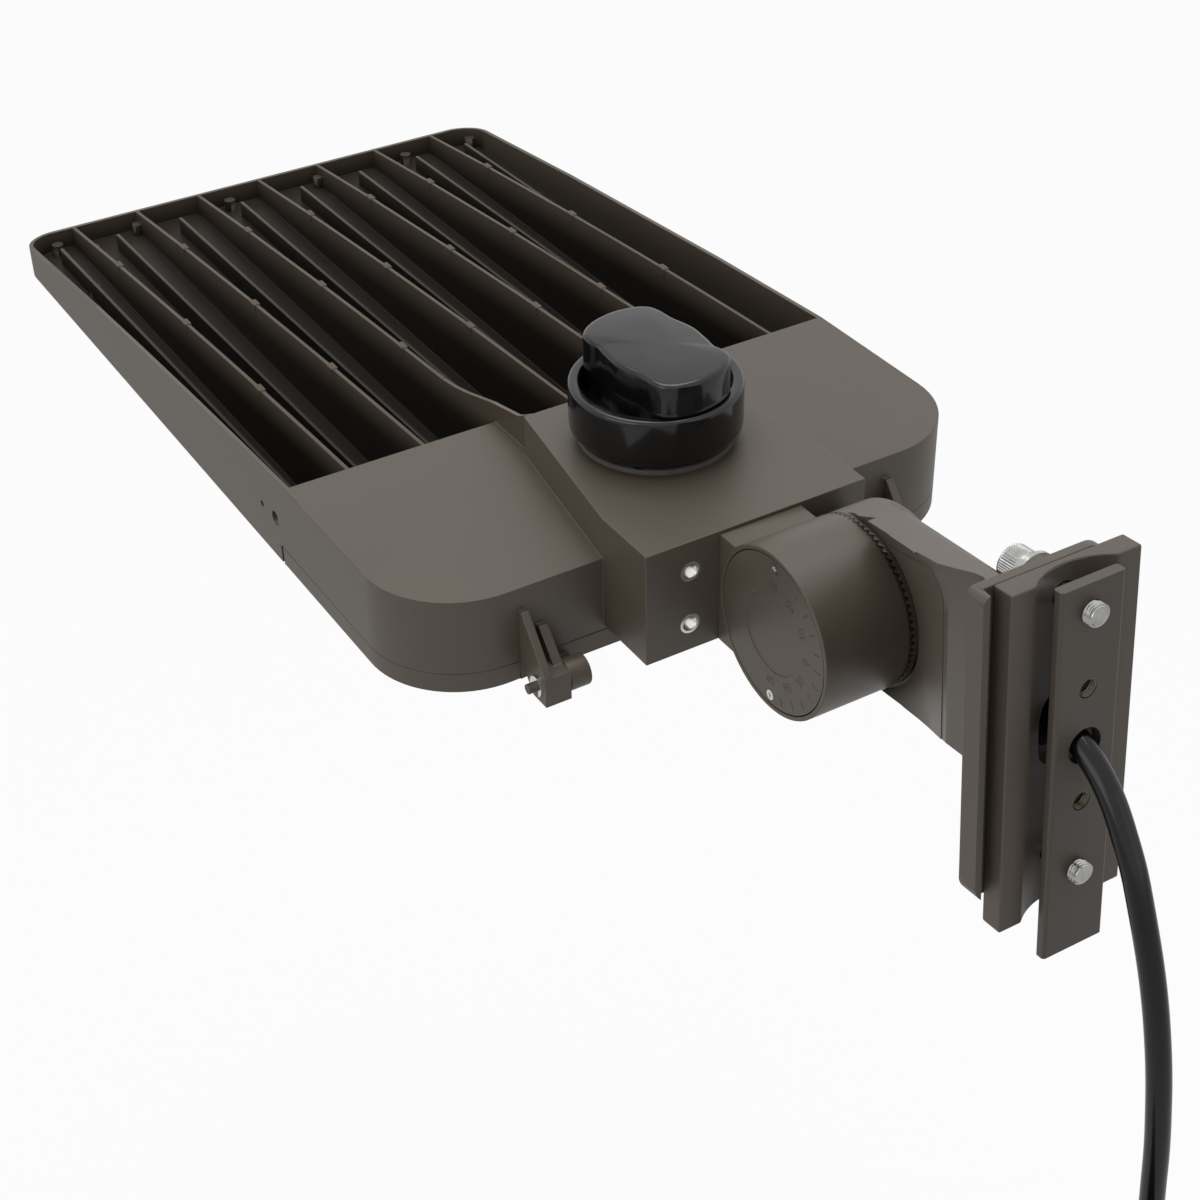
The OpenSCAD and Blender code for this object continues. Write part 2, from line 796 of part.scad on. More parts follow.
// Toothed barrel with the pad that bolts to the hump
module knuckle() {
    web_y = teeth_y + knuckle_web_t;
    color(bronze) in_head() at_pivot() difference() {
        union() {
            difference() {
                union() {
                    rod_y(barrel_r, teeth_y + tooth_h / 2 + tooth_root, dial_y);
                    block([0, hump_back_x], [pad_y0, dial_y], [hump_under_h - pivot_h, pad_top]);
                }
                rod_y(barrel_r - knuckle_wall, web_y, dial_y + overrun);
                rod_y(dial_d / 2 + sweep_gap, dial_y - dial_t - dial_sink - sweep_gap, dial_y + overrun);
                rod_y(barrel_r - tooth_ring_w - tooth_out_gap - overrun / 2,
                    teeth_y, teeth_y + tooth_h / 2 + tooth_root + overrun / 2);
            }
            tooth_ring(teeth_y + tooth_h + tooth_root + overrun / 2, teeth_y + tooth_h / 2,
                teeth_y - tooth_h / 2, barrel_r - tooth_ring_w, barrel_r - tooth_out_gap, 0);
            rod_y(sleeve_r + knuckle_wall, teeth_y + seat_gap + tooth_h, web_y);
        }
        rod_y(sleeve_r + run_gap, teeth_y - overrun, web_y + overrun);
        for (i = [0 : wire_window_n - 1]) rotate([0, 360 * i / wire_window_n + 45, 0])
            translate([wire_window_reach, 0, 0]) rod_y(wire_window_r, teeth_y - overrun, web_y + overrun);
        translate([0, (pad_y0 + dial_y) / 2, 0]) rod_x(wire_hole_r, barrel_r / 2, hump_back_x + overrun);
        translate([0, 0, -pivot_h]) knuckle_screw_places()
            rod_x(knuckle_screw_d / 2, hump_back_x - knuckle_screw_grip, hump_back_x + overrun);
    }
}

// Four socket screws that hold the knuckle from inside the hump
module knuckle_screws() {
    color(steel) in_head() knuckle_screw_places() union() {
        rod_x(knuckle_screw_d / 2, hump_back_x - knuckle_screw_grip, hump_back_x + wall + overrun);
        rod_x(knuckle_screw_head_d / 2, hump_back_x + wall, hump_back_x + wall + knuckle_screw_head_h);
    }
}

module post_places() {
    for (s = [-1, 1]) translate([0, 0, s * post_place_r]) children();
}

carrier_y = teeth_y + knuckle_web_t + seat_gap;
dial_back_y = dial_y - dial_t - dial_sink;

// Keyed hub that stays with the arm and carries the dial on two posts
module dial_carrier() {
    color(bronze_dark) in_head() at_pivot() difference() {
        union() {
            rod_y(carrier_hub_r, carrier_y, carrier_y + carrier_t);
            rod_y(sleeve_r, teeth_y - seat_gap, carrier_y + overrun);
            block([-key_w / 2, key_w / 2], [teeth_y - key_l, teeth_y], [-key_w / 2, key_w / 2]);
            block([-bar_w / 2, bar_w / 2], [carrier_y, carrier_y + carrier_t],
                [-post_place_r, post_place_r]);
            post_places() rod_y(post_r, carrier_y, dial_back_y);
        }
        rod_y(pivot_d / 2 + run_gap, teeth_y - key_l - overrun, carrier_y + carrier_t + overrun);
        post_places() rod_y(dial_screw_r, dial_back_y - dial_screw_l, dial_back_y + overrun);
    }
}

// Numbered cover in the end of the barrel
module dial_disc() {
    face_y = dial_y - dial_sink;
    color(bronze) in_head() at_pivot() difference() {
        rod_y(dial_d / 2, dial_back_y, face_y);
        rod_y(dial_step_d / 2, face_y - dial_step, face_y + overrun);
        post_places() rod_y(dial_screw_r + washer_gap, dial_back_y - overrun, face_y + overrun);
        post_places() rod_y(dial_screw_head_r + washer_gap, face_y - dial_screw_head_h, face_y + overrun);
        for (a = [-tick_span : tick_step : tick_span]) rotate([0, a - 180, 0])
            block([dial_d / 2 - dial_rim - tick_l, dial_d / 2 - dial_rim],
                [face_y - tick_deep, face_y + overrun], [-tick_w / 2, tick_w / 2]);
    }
}

// Two cross-recessed screws that hold the dial on its posts
module dial_screws() {
    face_y = dial_y - dial_sink;
    color(steel) in_head() at_pivot() post_places() difference() {
        union() {
            rod_y(dial_screw_r, dial_back_y - dial_screw_l, face_y - dial_screw_head_h / 2);
            rod_y(dial_screw_head_r, face_y - dial_screw_head_h, face_y);
        }
        block([-dial_screw_r, dial_screw_r], [face_y - dial_screw_head_h / 2, face_y + overrun],
            [-dial_screw_r / 4, dial_screw_r / 4]);
        block([-dial_screw_r / 4, dial_screw_r / 4], [face_y - dial_screw_head_h / 2, face_y + overrun],
            [-dial_screw_r, dial_screw_r]);
    }
}

washers_y = carrier_y + carrier_t;

// Two spring washers under the pivot bolt's head
module pivot_washers() {
    color(steel) in_head() at_pivot() for (i = [0, 1]) difference() {
        rod_y(pivot_washer_r, washers_y + i * pivot_washer_t, washers_y + (i + 1) * pivot_washer_t);
        rod_y(pivot_d / 2 + washer_gap, washers_y - overrun, washers_y + 2 * pivot_washer_t + overrun);
    }
}

// Socket-head bolt that clamps the two rings of teeth together
module pivot_bolt() {
    head_y = washers_y + 2 * pivot_washer_t;
    color(steel) in_head() at_pivot() difference() {
        union() {
            rod_y(pivot_d / 2, teeth_y - pivot_tip, head_y + overrun);
            rod_y(pivot_head_r, head_y, head_y + pivot_head_h);
        }
        rod_y(bolt_socket_r, head_y + pivot_head_h - bolt_socket_h, head_y + pivot_head_h + overrun);
    }
}

// Outline of the neck where it meets the flange, in y and z
module neck_root(x0, x1) {
    translate([x0, 0, 0]) rotate([90, 0, 90]) linear_extrude(x1 - x0)
        polygon([for (s = neck_shares) [s[0] * flange_left, s[1] * flange_top]]);
}

module ring_solid(r, y0, y1) {
    translate([pivot_x, 0, -pivot_drop]) rod_y(r, y0, y1);
}

// Level where the neck meets the ring's toothed end
neck_end_y = teeth_y - tooth_root - tooth_h;

// Neck from the ring up to the flange
module neck_outer() {
    inner = barrel_r - tooth_out_gap - seat_gap;
    hull() {
        ring_solid(inner, ring_right_y + ring_end_r, neck_end_y, $fn = hull_fn);
        ring_solid(inner - ring_end_r / 2, ring_right_y + ring_end_r / 3, neck_end_y, $fn = hull_fn);
        neck_root(flange_x1 - wall, flange_x1 + wall / 2);
    }
}

// Everything to the left of the neck's flared left side, seen from above
module beside_neck() {
    reach_x = pivot_x - barrel_r / 2 - flange_x1;
    last = side_shares[len(side_shares) - 1];
    translate([0, 0, -flange_bottom - barrel_d]) linear_extrude(2 * (flange_bottom + barrel_d))
        polygon(concat([for (s = side_shares) [flange_x1 + s[0] * reach_x, s[1] * flange_left]],
            [[flange_x1 + last[0] * reach_x, barrel_d], [flange_x1, barrel_d]]));
}

// Space between the barrel and the neck's left side, which runs from the flange to the ring
module side_space() {
    hull() {
        block([flange_x1, flange_x1 + overrun], [flange_left, flange_left + barrel_d],
            [-flange_bottom, flange_top]);
        ring_solid(barrel_r + barrel_air, neck_end_y, flange_left + barrel_d);
    }
}

// Crescent groove in the neck beside the ring's toothed end
module side_groove() {
    translate([-groove_shift, 0, -groove_shift / 2])
        ring_solid(barrel_r, teeth_y - groove_d, dial_y);
}

// Space inside the neck and the ring for the wires
module neck_space() {
    gland_x = gland_face_x + gland_dome_l + gland_wall_t;
    hull() {
        ring_solid(ring_cavity_r, ring_right_y + ring_wall, teeth_y - tooth_plate_t, $fn = hull_fn);
        block([gland_x, gland_x + wall], [-neck_cavity_w / 2 - wall, neck_cavity_w / 2 - wall],
            [-neck_cavity_h / 2, neck_cavity_h / 2]);
    }
}

// Rounded plate seen along X
module face_plate(x0, x1, w, z0, z1, r) {
    translate([x0, 0, 0]) rotate([90, 0, 90]) linear_extrude(x1 - x0) {
        translate([-w / 2 + r, z0]) square([w - 2 * r, z1 - z0]);
        translate([-w / 2, z0 + r]) square([w, z1 - z0 - 2 * r]);
        for (s = [-1, 1], z = [z0 + r, z1 - r]) translate([s * (w / 2 - r), z]) circle(r = r);
    }
}

bolt_boss_x = flange_x1 + bolt_boss_l;
bolt_seat_x = bolt_boss_x + flat_washer_t + lock_washer_t;

module bolt_places() {
    for (s = [-1, 1]) translate([0, 0, s * bolt_spacing / 2]) children();
}

// Arm casting: toothed ring, hollow neck and the channel flange that holds the adapter
module arm() {
    color(bronze) difference() {
        union() {
            difference() {
                union() {
                    translate([pivot_x, 0, -pivot_drop]) {
                        rod_y(barrel_r, ring_right_y + ring_end_r, teeth_y - tooth_root - tooth_h / 2);
                        translate([0, ring_right_y + ring_end_r, 0]) rotate([90, 0, 0])
                            rotate_extrude() ring_end_view();
                    }
                    difference() {
                        neck_outer();
                        beside_neck();
                        side_groove();
                        side_space();
                        ring_solid(barrel_r + pad_air, teeth_y, flange_left + barrel_d);
                    }
                    translate([0, (flange_left - flange_right) / 2, 0])
                        face_plate(flange_x0, flange_x1, flange_left + flange_right,
                            -flange_bottom, flange_top, flange_corner_r);
                    translate([0, flange_left - flange_corner_r, 0])
                        face_plate(flange_x0, flange_x1, 2 * flange_corner_r,
                            flange_top - 2 * flange_corner_r, flange_top, flange_ear_r);
                    bolt_places() rod_x(bolt_boss_r, flange_x1 - overrun, bolt_boss_x);
                }
                neck_space();
            }
            ring_solid(pivot_boss_r, ring_right_y + ring_wall / 2, teeth_y - tooth_root - tooth_h);
            translate([pivot_x, 0, -pivot_drop]) mirror([0, 1, 0])
                tooth_ring(-teeth_y + tooth_h + tooth_root + overrun / 2,
                    -teeth_y + tooth_h / 2 + tooth_clear, -teeth_y - tooth_h / 2 + tooth_clear,
                    barrel_r - tooth_ring_w, barrel_r - tooth_out_gap, 1);
        }
        block([-overrun, adapter_t], [-flange_left, tray_left],
            [-flange_bottom - overrun, flange_top + overrun]);
        bolt_places() rod_x(bolt_d / 2 + bolt_gap, 0, bolt_seat_x);
        bolt_places() rod_x(bolt_pocket_r, bolt_boss_x, bolt_seat_x + overrun / 2);
        bolt_places() rod_x(head_pocket_r, bolt_seat_x, bolt_seat_x + head_pocket_l);
        translate([0, 0, gland_rise]) {
            rod_x(gland_well_r, 0, gland_face_x + gland_dome_l);
            rod_x(gland_body_r + run_gap, 0, gland_face_x + gland_dome_l + 2 * gland_wall_t);
        }
        ring_solid(pivot_d / 2 + run_gap, teeth_y - pivot_tip - release, teeth_y);
        translate([pivot_x, 0, -pivot_drop]) rotate([0, -rest_tilt, 0])
            block([-key_w / 2 - key_gap, key_w / 2 + key_gap], [teeth_y - key_l - seat_gap, teeth_y],
                [-key_w / 2 - key_gap, key_w / 2 + key_gap]);
        translate([pivot_x, 0, -pivot_drop])
            for (i = [0 : wire_window_n - 1]) rotate([0, 360 * i / wire_window_n + 45, 0])
                translate([wire_window_reach + wall, 0, 0])
                    rod_y(wire_window_r, teeth_y - tooth_plate_t - overrun, teeth_y + overrun);
    }
}

// Half section of the ring's rounded outer end
module ring_end_view() {
    square([barrel_r - ring_end_r, ring_end_r]);
    intersection() {
        translate([barrel_r - ring_end_r, 0]) circle(r = ring_end_r);
        square([barrel_r, ring_end_r]);
    }
}

// Curved plate between the arm and the pole
module pole_adapter() {
    arc_r = (adapter_arc_w * adapter_arc_w / 4 + adapter_arc_depth * adapter_arc_depth)
        / (2 * adapter_arc_depth);
    color(bronze) difference() {
        block([0, adapter_t], [-adapter_w / 2, adapter_w / 2], [-adapter_bottom, adapter_top]);
        translate([adapter_arc_depth - arc_r, 0, 0])
            rod_z(arc_r, -adapter_bottom - overrun, adapter_top + overrun);
        bolt_places() rod_x(bolt_d / 2 + bolt_gap, -overrun, adapter_t + overrun);
        face_plate(-overrun, adapter_t + overrun, slot_w, -slot_h / 2, slot_h / 2,
            slot_w / 2 - run_gap);
    }
}

// Loose bar inside the pole wall, with two bolt holes and two spare tapped holes
module back_plate() {
    x1 = -pole_wall;
    x0 = x1 - plate_t;
    color(bronze) difference() {
        translate([0, 0, -plate_bottom]) linear_extrude(plate_bottom + plate_top) {
            translate([x0, -plate_w / 2 + plate_edge_r]) square([plate_t, plate_w - 2 * plate_edge_r]);
            translate([x0 + plate_edge_r, -plate_w / 2])
                square([plate_t - 2 * plate_edge_r, plate_w]);
            for (x = [x0 + plate_edge_r, x1 - plate_edge_r], s = [-1, 1])
                translate([x, s * (plate_w / 2 - plate_edge_r)]) circle(r = plate_edge_r);
        }
        bolt_places() rod_x(bolt_d / 2 + run_gap, x0 - overrun, x1 + overrun);
        for (s = [-1, 1]) translate([0, 0, s * tapped_spacing / 2])
            rod_x(tapped_d / 2, x0 - overrun, x1 + overrun);
        rod_x(plate_hole_d / 2, x0 - overrun, x1 + overrun);
    }
}

// Two socket-head bolts that pull the back plate towards the adapter
module clamp_bolts() {
    tip_x = bolt_seat_x - bolt_l;
    color(steel) bolt_places() difference() {
        union() {
            rod_x(bolt_d / 2, tip_x, bolt_seat_x + overrun);
            rod_x(bolt_head_r, bolt_seat_x, bolt_seat_x + bolt_head_h);
        }
        rod_x(bolt_socket_r, bolt_seat_x + bolt_head_h - bolt_socket_h,
            bolt_seat_x + bolt_head_h + overrun);
    }
}

module washer(r, x0, x1) {
    difference() {
        rod_x(r, x0, x1);
        rod_x(bolt_d / 2 + washer_gap, x0 - overrun, x1 + overrun);
    }
}

module lock_washers() {
    color(steel) bolt_places() washer(lock_washer_r, bolt_boss_x + flat_washer_t, bolt_seat_x);
}

module flat_washers() {
    color(steel) bolt_places() washer(flat_washer_r, bolt_boss_x, bolt_boss_x + flat_washer_t);
}

// Strain relief screwed into the wall inside the neck
module cord_gland() {
    wall_x = gland_face_x + gland_dome_l;
    lock_x = wall_x + gland_wall_t;
    color(black) translate([0, 0, gland_rise]) difference() {
        union() {
            rod_x(gland_nut_r, gland_face_x, wall_x);
            rod_x(gland_body_r, wall_x - overrun, lock_x + gland_lock_l);
            rod_x(gland_nut_r, lock_x + seat_gap, lock_x + gland_lock_l);
        }
        rod_x(cord_r + seat_gap, gland_face_x + overrun, lock_x + gland_lock_l + overrun);
    }
}

function unit(v) = v / norm(v);

// Sweeps a round section along points; up is a direction that the points never follow
module tube(pts, r, sides, up) {
    n = len(pts);
    dirs = [for (i = [0 : n - 1]) unit(pts[min(i + 1, n - 1)] - pts[max(i - 1, 0)])];
    rings = [for (i = [0 : n - 1])
        let (d = dirs[i], s = unit(cross(up, d)), t = cross(d, s))
        for (k = [0 : sides - 1]) let (a = 360 * k / sides)
            pts[i] + r * (cos(a) * s + sin(a) * t)];
    faces = concat(
        [[for (k = [0 : sides - 1]) k]],
        [for (i = [0 : n - 2], k = [0 : sides - 1])
            let (a = i * sides + k, b = i * sides + (k + 1) % sides)
            each [[a, a + sides, b], [b, a + sides, b + sides]]],
        [[for (k = [sides - 1 : -1 : 0]) (n - 1) * sides + k]]);
    polyhedron(rings, faces, convexity = 8);
}

module cord_run() {
    color(black) tube([for (p = cord_route) [p[0], 0, p[1]]], cord_r, cord_sides, [0, 1, 0]);
}

// The spare length: one unbroken tube wound side by side, hanging below the plate
coil_z = coil_start[1] - cord_d;
coil_round = [for (i = [0 : coil_turns * coil_rings]) let (a = 180 + 360 * i / coil_rings)
    [coil_start[0] - coil_step * i / coil_rings, coil_r + coil_r * cos(a), coil_z + coil_r * sin(a)]];
coil_end_x = coil_start[0] - coil_turns * coil_step;
coil_path = concat([[coil_start[0], 0, coil_start[1]]], coil_round,
    [[coil_end_x, 0, coil_z - cord_d]]);

// Least distance between stretches of the coil at least half a turn apart
coil_clear = min([for (i = [0 : len(coil_round) - 1], j = [0 : len(coil_round) - 1])
    if (j - i >= coil_rings / 2) norm(coil_round[i] - coil_round[j])]) - cord_d;
echo(coil_least_gap = coil_clear);

module cord_coil() {
    color(black) tube(coil_path, cord_r, coil_sides, [1, 0, 0]);
}

// Band that holds the coil's turns together
module cord_tie() {
    inner = cord_r + tie_gap;
    z1 = coil_z + tie_h / 2;
    color(black) difference() {
        block([coil_end_x - inner - tie_t, coil_start[0] + inner + tie_t],
            [-inner - tie_t, inner + tie_t], [z1 - tie_h, z1]);
        block([coil_end_x - inner, coil_start[0] + inner], [-inner, inner],
            [z1 - tie_h - overrun, z1 + overrun]);
    }
}

// Three stripped conductors at the cord's end
module cord_leads() {
    color("#c9c4b8") translate(coil_path[len(coil_path) - 1]) for (i = [0 : 2])
        rotate([0, 0, 120 * i]) translate([lead_place_r, 0, 0]) rotate([0, -lead_splay, 0]) {
            rod_z(lead_r, -lead_l + lead_bare_l, -seat_gap * lead_splay);
            rod_z(lead_bare_r, -lead_l, -lead_l + lead_bare_l + overrun);
        }
}

// Boards that carry the light sources, under the bays
board_l = (recess_l - 2 * (seal_w + lens_edge) - (boards_x - 1) * board_gap) / boards_x;
board_w = (recess_w - 2 * (seal_w + lens_edge) - (boards_y - 1) * board_gap) / boards_y;
board_top = floor_h - floor_t;

module board_places() {
    for (i = [0 : boards_x - 1], j = [0 : boards_y - 1])
        translate([recess_x0 + seal_w + lens_edge + i * (board_l + board_gap),
            -recess_w / 2 + seal_w + lens_edge + j * (board_w + board_gap), 0]) children();
}

module lens_places() {
    board_places() for (i = [0 : lenses_x - 1], j = [0 : lenses_y - 1])
        translate([board_l * (i + 0.5) / lenses_x, board_w * (j + 0.5) / lenses_y, 0]) children();
}

module led_boards() {
    color("#e9ebe6") in_head() board_places()
        block([0, board_l], [0, board_w], [board_top - board_t, board_top]);
}

module led_packages() {
    z = board_top - board_t;
    color("#f1d24a") in_head() lens_places()
        block([-package_w / 2, package_w / 2], [-package_w / 2, package_w / 2], [z - package_t, z]);
}

lens_top = board_top - board_t - package_t - lens_seat;

// Clear panel with one raised lens under each light source
module lens_panel() {
    color("#dfe8ee") in_head() difference() {
        union() {
            block([recess_x0 + seat_gap, recess_x1 - seat_gap],
                [-recess_w / 2 + seat_gap, recess_w / 2 - seat_gap], [lens_top - lens_t, lens_top]);
            lens_places() translate([0, 0, lens_top - lens_t - lens_out])
                cylinder(r1 = lens_tip_r, r2 = lens_r, h = lens_out + overrun / 2);
        }
        lens_screw_places() rod_z(lens_screw_r + washer_gap, lens_top - lens_t - overrun,
            lens_top + overrun);
    }
}

module lens_gasket() {
    color("#8a8a88") in_head() difference() {
        block([recess_x0 + seat_gap, recess_x1 - seat_gap],
            [-recess_w / 2 + seat_gap, recess_w / 2 - seat_gap], [lens_top, board_top]);
        block([recess_x0 + seal_w + lens_screw_r, recess_x1 - seal_w - lens_screw_r],
            [-recess_w / 2 + seal_w + lens_screw_r, recess_w / 2 - seal_w - lens_screw_r],
            [lens_top - overrun, board_top + overrun]);
        lens_screw_places() rod_z(lens_screw_r + washer_gap, lens_top - overrun, board_top + overrun);
    }
}

module lens_screws() {
    z = lens_top - lens_t;
    color(steel) in_head() lens_screw_places() {
        rod_z(lens_screw_r, z - overrun / 2, floor_h - floor_t + lens_screw_r - seat_gap);
        rod_z(lens_screw_head_r, z - lens_screw_head_h, z);
    }
}

// Surge protector and terminal block on the compartment's ceiling
module ceiling_block(size, place) {
    x = rear_x + wall + place[0];
    z = side_h - wall;
    block([x, x + size[0]], [place[1], place[1] + size[1]], [z - size[2], z]);
}

module surge_protector() {
    color("#1d1d1d") in_head() ceiling_block(surge_size, surge_place);
}

module terminal_block() {
    color("#e3e0d6") in_head() ceiling_block(block_size, block_place);
}

// Twist-lock socket under the cap
receptacle_top = hump_h + gasket_ring_t;

module blade_ring(extra_r, lead, turn, z0, z1) {
    for (i = [0 : blade_n - 1]) rotate([0, 0, 360 * i / blade_n - lead])
        translate([0, 0, z0]) rotate_extrude(angle = blade_arc + turn + 2 * lead)
            translate([blade_place_r - blade_t / 2 - extra_r, 0])
                square([blade_t + 2 * extra_r, z1 - z0]);
}

module receptacle() {
    color(black) in_head() translate([cap_x, 0, 0]) difference() {
        union() {
            rod_z(receptacle_r, receptacle_top - receptacle_h, receptacle_top);
            rod_z(receptacle_flange_r, hump_h - wall - receptacle_flange_t, hump_h - wall);
        }
        blade_ring(slot_gap, slot_lead, twist, receptacle_top - blade_l, receptacle_top + overrun);
        for (a = [45, 135, 225, 315]) rotate([0, 0, a]) translate([receptacle_screw_place_r, 0, 0])
            rod_z(receptacle_screw_r + run_gap, hump_h - wall - receptacle_screw_l, hump_h);
    }
}

module receptacle_gasket() {
    color("#77706a") in_head() translate([cap_x, 0, 0]) difference() {
        rod_z(gasket_ring_r, hump_h, hump_h + gasket_ring_t);
        rod_z(receptacle_r + receptacle_gap, hump_h - overrun, hump_h + gasket_ring_t + overrun);
        for (a = [45, 135, 225, 315]) rotate([0, 0, a]) translate([receptacle_screw_place_r, 0, 0])
            rod_z(receptacle_screw_head_r + washer_gap, hump_h - overrun,
                hump_h + gasket_ring_t + overrun);
    }
}

module receptacle_screws() {
    color(steel) in_head() receptacle_screw_places() {
        rod_z(receptacle_screw_r, hump_h - receptacle_screw_l, hump_h + overrun);
        rod_z(receptacle_screw_head_r, hump_h, hump_h + receptacle_screw_head_h);
    }
}

// Grip seen from above: turn and reach of one half's points, the other half turned round
module grip_outline(inset) {
    polygon([for (half = [0, 180], p = grip_shares)
        (grip_r * p[1] - inset) * [cos(half + p[0]), sin(half + p[0])]]);
}

module shorting_cap() {
    z0 = receptacle_top + seat_gap;
    z1 = z0 + cap_base_h;
    z2 = z1 + skirt_h;
    color(black) in_head() translate([cap_x, 0, 0]) difference() {
        union() {
            rod_z(cap_base_r, z0, z1 + overrun);
            translate([0, 0, z1]) rotate_extrude() skirt_view();
            translate([0, 0, z2 - overrun]) linear_extrude(grip_low_h + overrun)
                grip_outline(grip_inset);
            translate([0, 0, z2 + grip_low_h]) linear_extrude(grip_h - grip_low_h) grip_outline(0);
            translate([0, 0, z2 + grip_h - overrun]) linear_extrude(crown_h + overrun)
                grip_outline(crown_inset);
        }
        rod_z(cap_cavity_r, z0 - overrun, z0 + cap_cavity_h);
        difference() {
            rod_z(cap_d / 2 - pocket_ring_w, z2 - pocket_depth, z2 + grip_low_h / 2);
            translate([0, 0, z2 - pocket_depth - overrun]) linear_extrude(pocket_depth + 2 * overrun)
                grip_outline(grip_inset);
        }
    }
}

// Half section of the skirt, with its raised outer lip
module skirt_view() {
    r = cap_d / 2;
    difference() {
        union() {
            square([r - skirt_round, skirt_h]);
            translate([0, skirt_round]) square([r, skirt_h - 2 * skirt_round]);
            for (y = [skirt_round, skirt_h - skirt_round]) translate([r - skirt_round, y])
                circle(r = skirt_round);
        }
        translate([0, skirt_h - lip_h]) square([r - lip_w, lip_h + overrun]);
    }
}

// Three contact blades joined by their shorting link
module cap_blades() {
    z1 = receptacle_top + seat_gap + cap_cavity_h;
    color("#c9a24a") in_head() translate([cap_x, 0, 0]) {
        blade_ring(0, 0, 0, receptacle_top - blade_l + slot_gap, z1 - link_t / 2);
        difference() {
            rod_z(blade_place_r + link_w / 2, z1 - link_t, z1);
            rod_z(blade_place_r - link_w / 2, z1 - link_t - overrun, z1 + overrun);
        }
    }
}

// Hinge pins with their retaining clips
module hinge_pins() {
    color(bronze_dark) in_head() both_sides() translate([hinge_x, 0, hinge_h]) {
        rod_y(hinge_pin_d / 2, ear_y - ear_t - lug_w - barrel_w, ear_y + pin_out);
    }
}

module hinge_clips() {
    color(steel) in_head() both_sides() translate([hinge_x, 0, hinge_h]) difference() {
        rod_y(clip_r, ear_y + seat_gap, ear_y + seat_gap + clip_t);
        rod_y(hinge_pin_d / 2 + run_gap, ear_y, ear_y + clip_t + overrun);
        block([-hinge_pin_d / 2 + clip_gap, hinge_pin_d / 2 - clip_gap],
            [ear_y, ear_y + clip_t + overrun], [-clip_r - overrun, 0]);
    }
}

door_x1 = tongue_x - door_gap;

// Outline of the door's raised land, which carries the gasket
module land_plan(inset) {
    plan(rear_x + inset, cavity_front_x - door_gap - inset, housing_w - 2 * inset,
        rear_corner_r - inset, max(nose_corner_r - inset, wall));
}

// Pan that closes the compartment from below
module door() {
    color(bronze) in_head() difference() {
        union() {
            linear_extrude(door_t) plan(rear_x, door_x1, housing_w, rear_corner_r, wall);
            difference() {
                linear_extrude(seam_h - seat_gap)
                    plan(rear_x, door_x1, housing_w, rear_corner_r, wall);
                translate([0, 0, -overrun]) linear_extrude(seam_h + 2 * overrun)
                    plan(rear_x + ledge_w, cavity_front_x - door_gap - ledge_w,
                        housing_w - 2 * ledge_w, rear_corner_r - ledge_w, wall);
                block([cavity_front_x - door_gap, nose_x], [-side_in_y, side_in_y],
                    [door_t, seam_h + overrun]);
            }
            driver_post_places() rod_z(driver_foot_l / 2, door_t / 2, door_t + driver_lift);
            door_screw_places() rod_z(door_boss_r, 0, seam_h - seat_gap);
            both_sides() door_knuckle();
        }
        difference() {
            translate([0, 0, seam_h - gasket_h]) linear_extrude(gasket_h + overrun)
                land_plan((ledge_w - gasket_w) / 2);
            translate([0, 0, seam_h - gasket_h - overrun]) linear_extrude(gasket_h + 3 * overrun)
                land_plan((ledge_w + gasket_w) / 2);
        }
        door_screw_places() rod_z(door_screw_d / 2 + run_gap, -overrun, seam_h + overrun);
        door_screw_places() rod_z(door_screw_head_d / 2 + washer_gap, -overrun, door_t / 2);
        driver_post_places() rod_z(driver_screw_r, door_t / 2, door_t + driver_lift + overrun);
        both_sides() translate([hinge_x, 0, hinge_h])
            rod_y(hinge_pin_d / 2 + run_gap, 0, ear_y);
        hinge_relief();
    }
}

// Hinge barrel on the door, between the housing's lug and the hump
module door_knuckle() {
    y1 = ear_y - ear_t - lug_w - hinge_side_gap;
    translate([hinge_x, 0, hinge_h]) rod_y(hinge_barrel_r, y1 - barrel_w, y1);
    block([hinge_x, rear_x + ledge_w], [y1 - barrel_w, y1], [0, hinge_h]);
}

// Room in the door's rear edge for the housing's ears and lugs
module hinge_relief() {
    both_sides() block([rear_x - hinge_setback, rear_x + sweep_gap / 2],
        [ear_y - ear_t - lug_w - hinge_side_gap, ear_y + hinge_side_gap], [-overrun, seam_h]);
}

module door_gasket() {
    h0 = seam_h - gasket_h;
    color("#2a2a2a") in_head() translate([0, 0, h0]) difference() {
        linear_extrude(gasket_h - seat_gap) land_plan((ledge_w - gasket_w) / 2 + seat_gap);
        translate([0, 0, -overrun]) linear_extrude(gasket_h + 2 * overrun)
            land_plan((ledge_w + gasket_w) / 2 - seat_gap);
    }
}

// Driver on its posts in the door
driver_x1 = hump_front_x - wall - driver_front_gap;

module driver_post_places() {
    for (s = screw_rows())
        translate([driver_x1 - driver_x / 2 + s[0] * driver_x / 4,
            s[1] * (driver_y - driver_foot_l) / 2, 0]) children();
}

module driver() {
    z = door_t + driver_lift;
    color("#d8d8d4") in_head() difference() {
        union() {
            block([driver_x1 - driver_x, driver_x1],
                [-driver_y / 2 + driver_foot_l, driver_y / 2 - driver_foot_l], [z, z + driver_z]);
            block([driver_x1 - driver_x, driver_x1], [-driver_y / 2, driver_y / 2],
                [z, z + driver_foot_t]);
        }
        driver_post_places() rod_z(driver_screw_r + washer_gap, z - overrun, z + driver_foot_t + overrun);
    }
}

module driver_screws() {
    z = door_t + driver_lift + driver_foot_t;
    color(steel) in_head() driver_post_places() {
        rod_z(driver_screw_r, door_t / 2, z + overrun / 2);
        rod_z(driver_screw_head_r, z, z + driver_screw_head_h);
    }
}

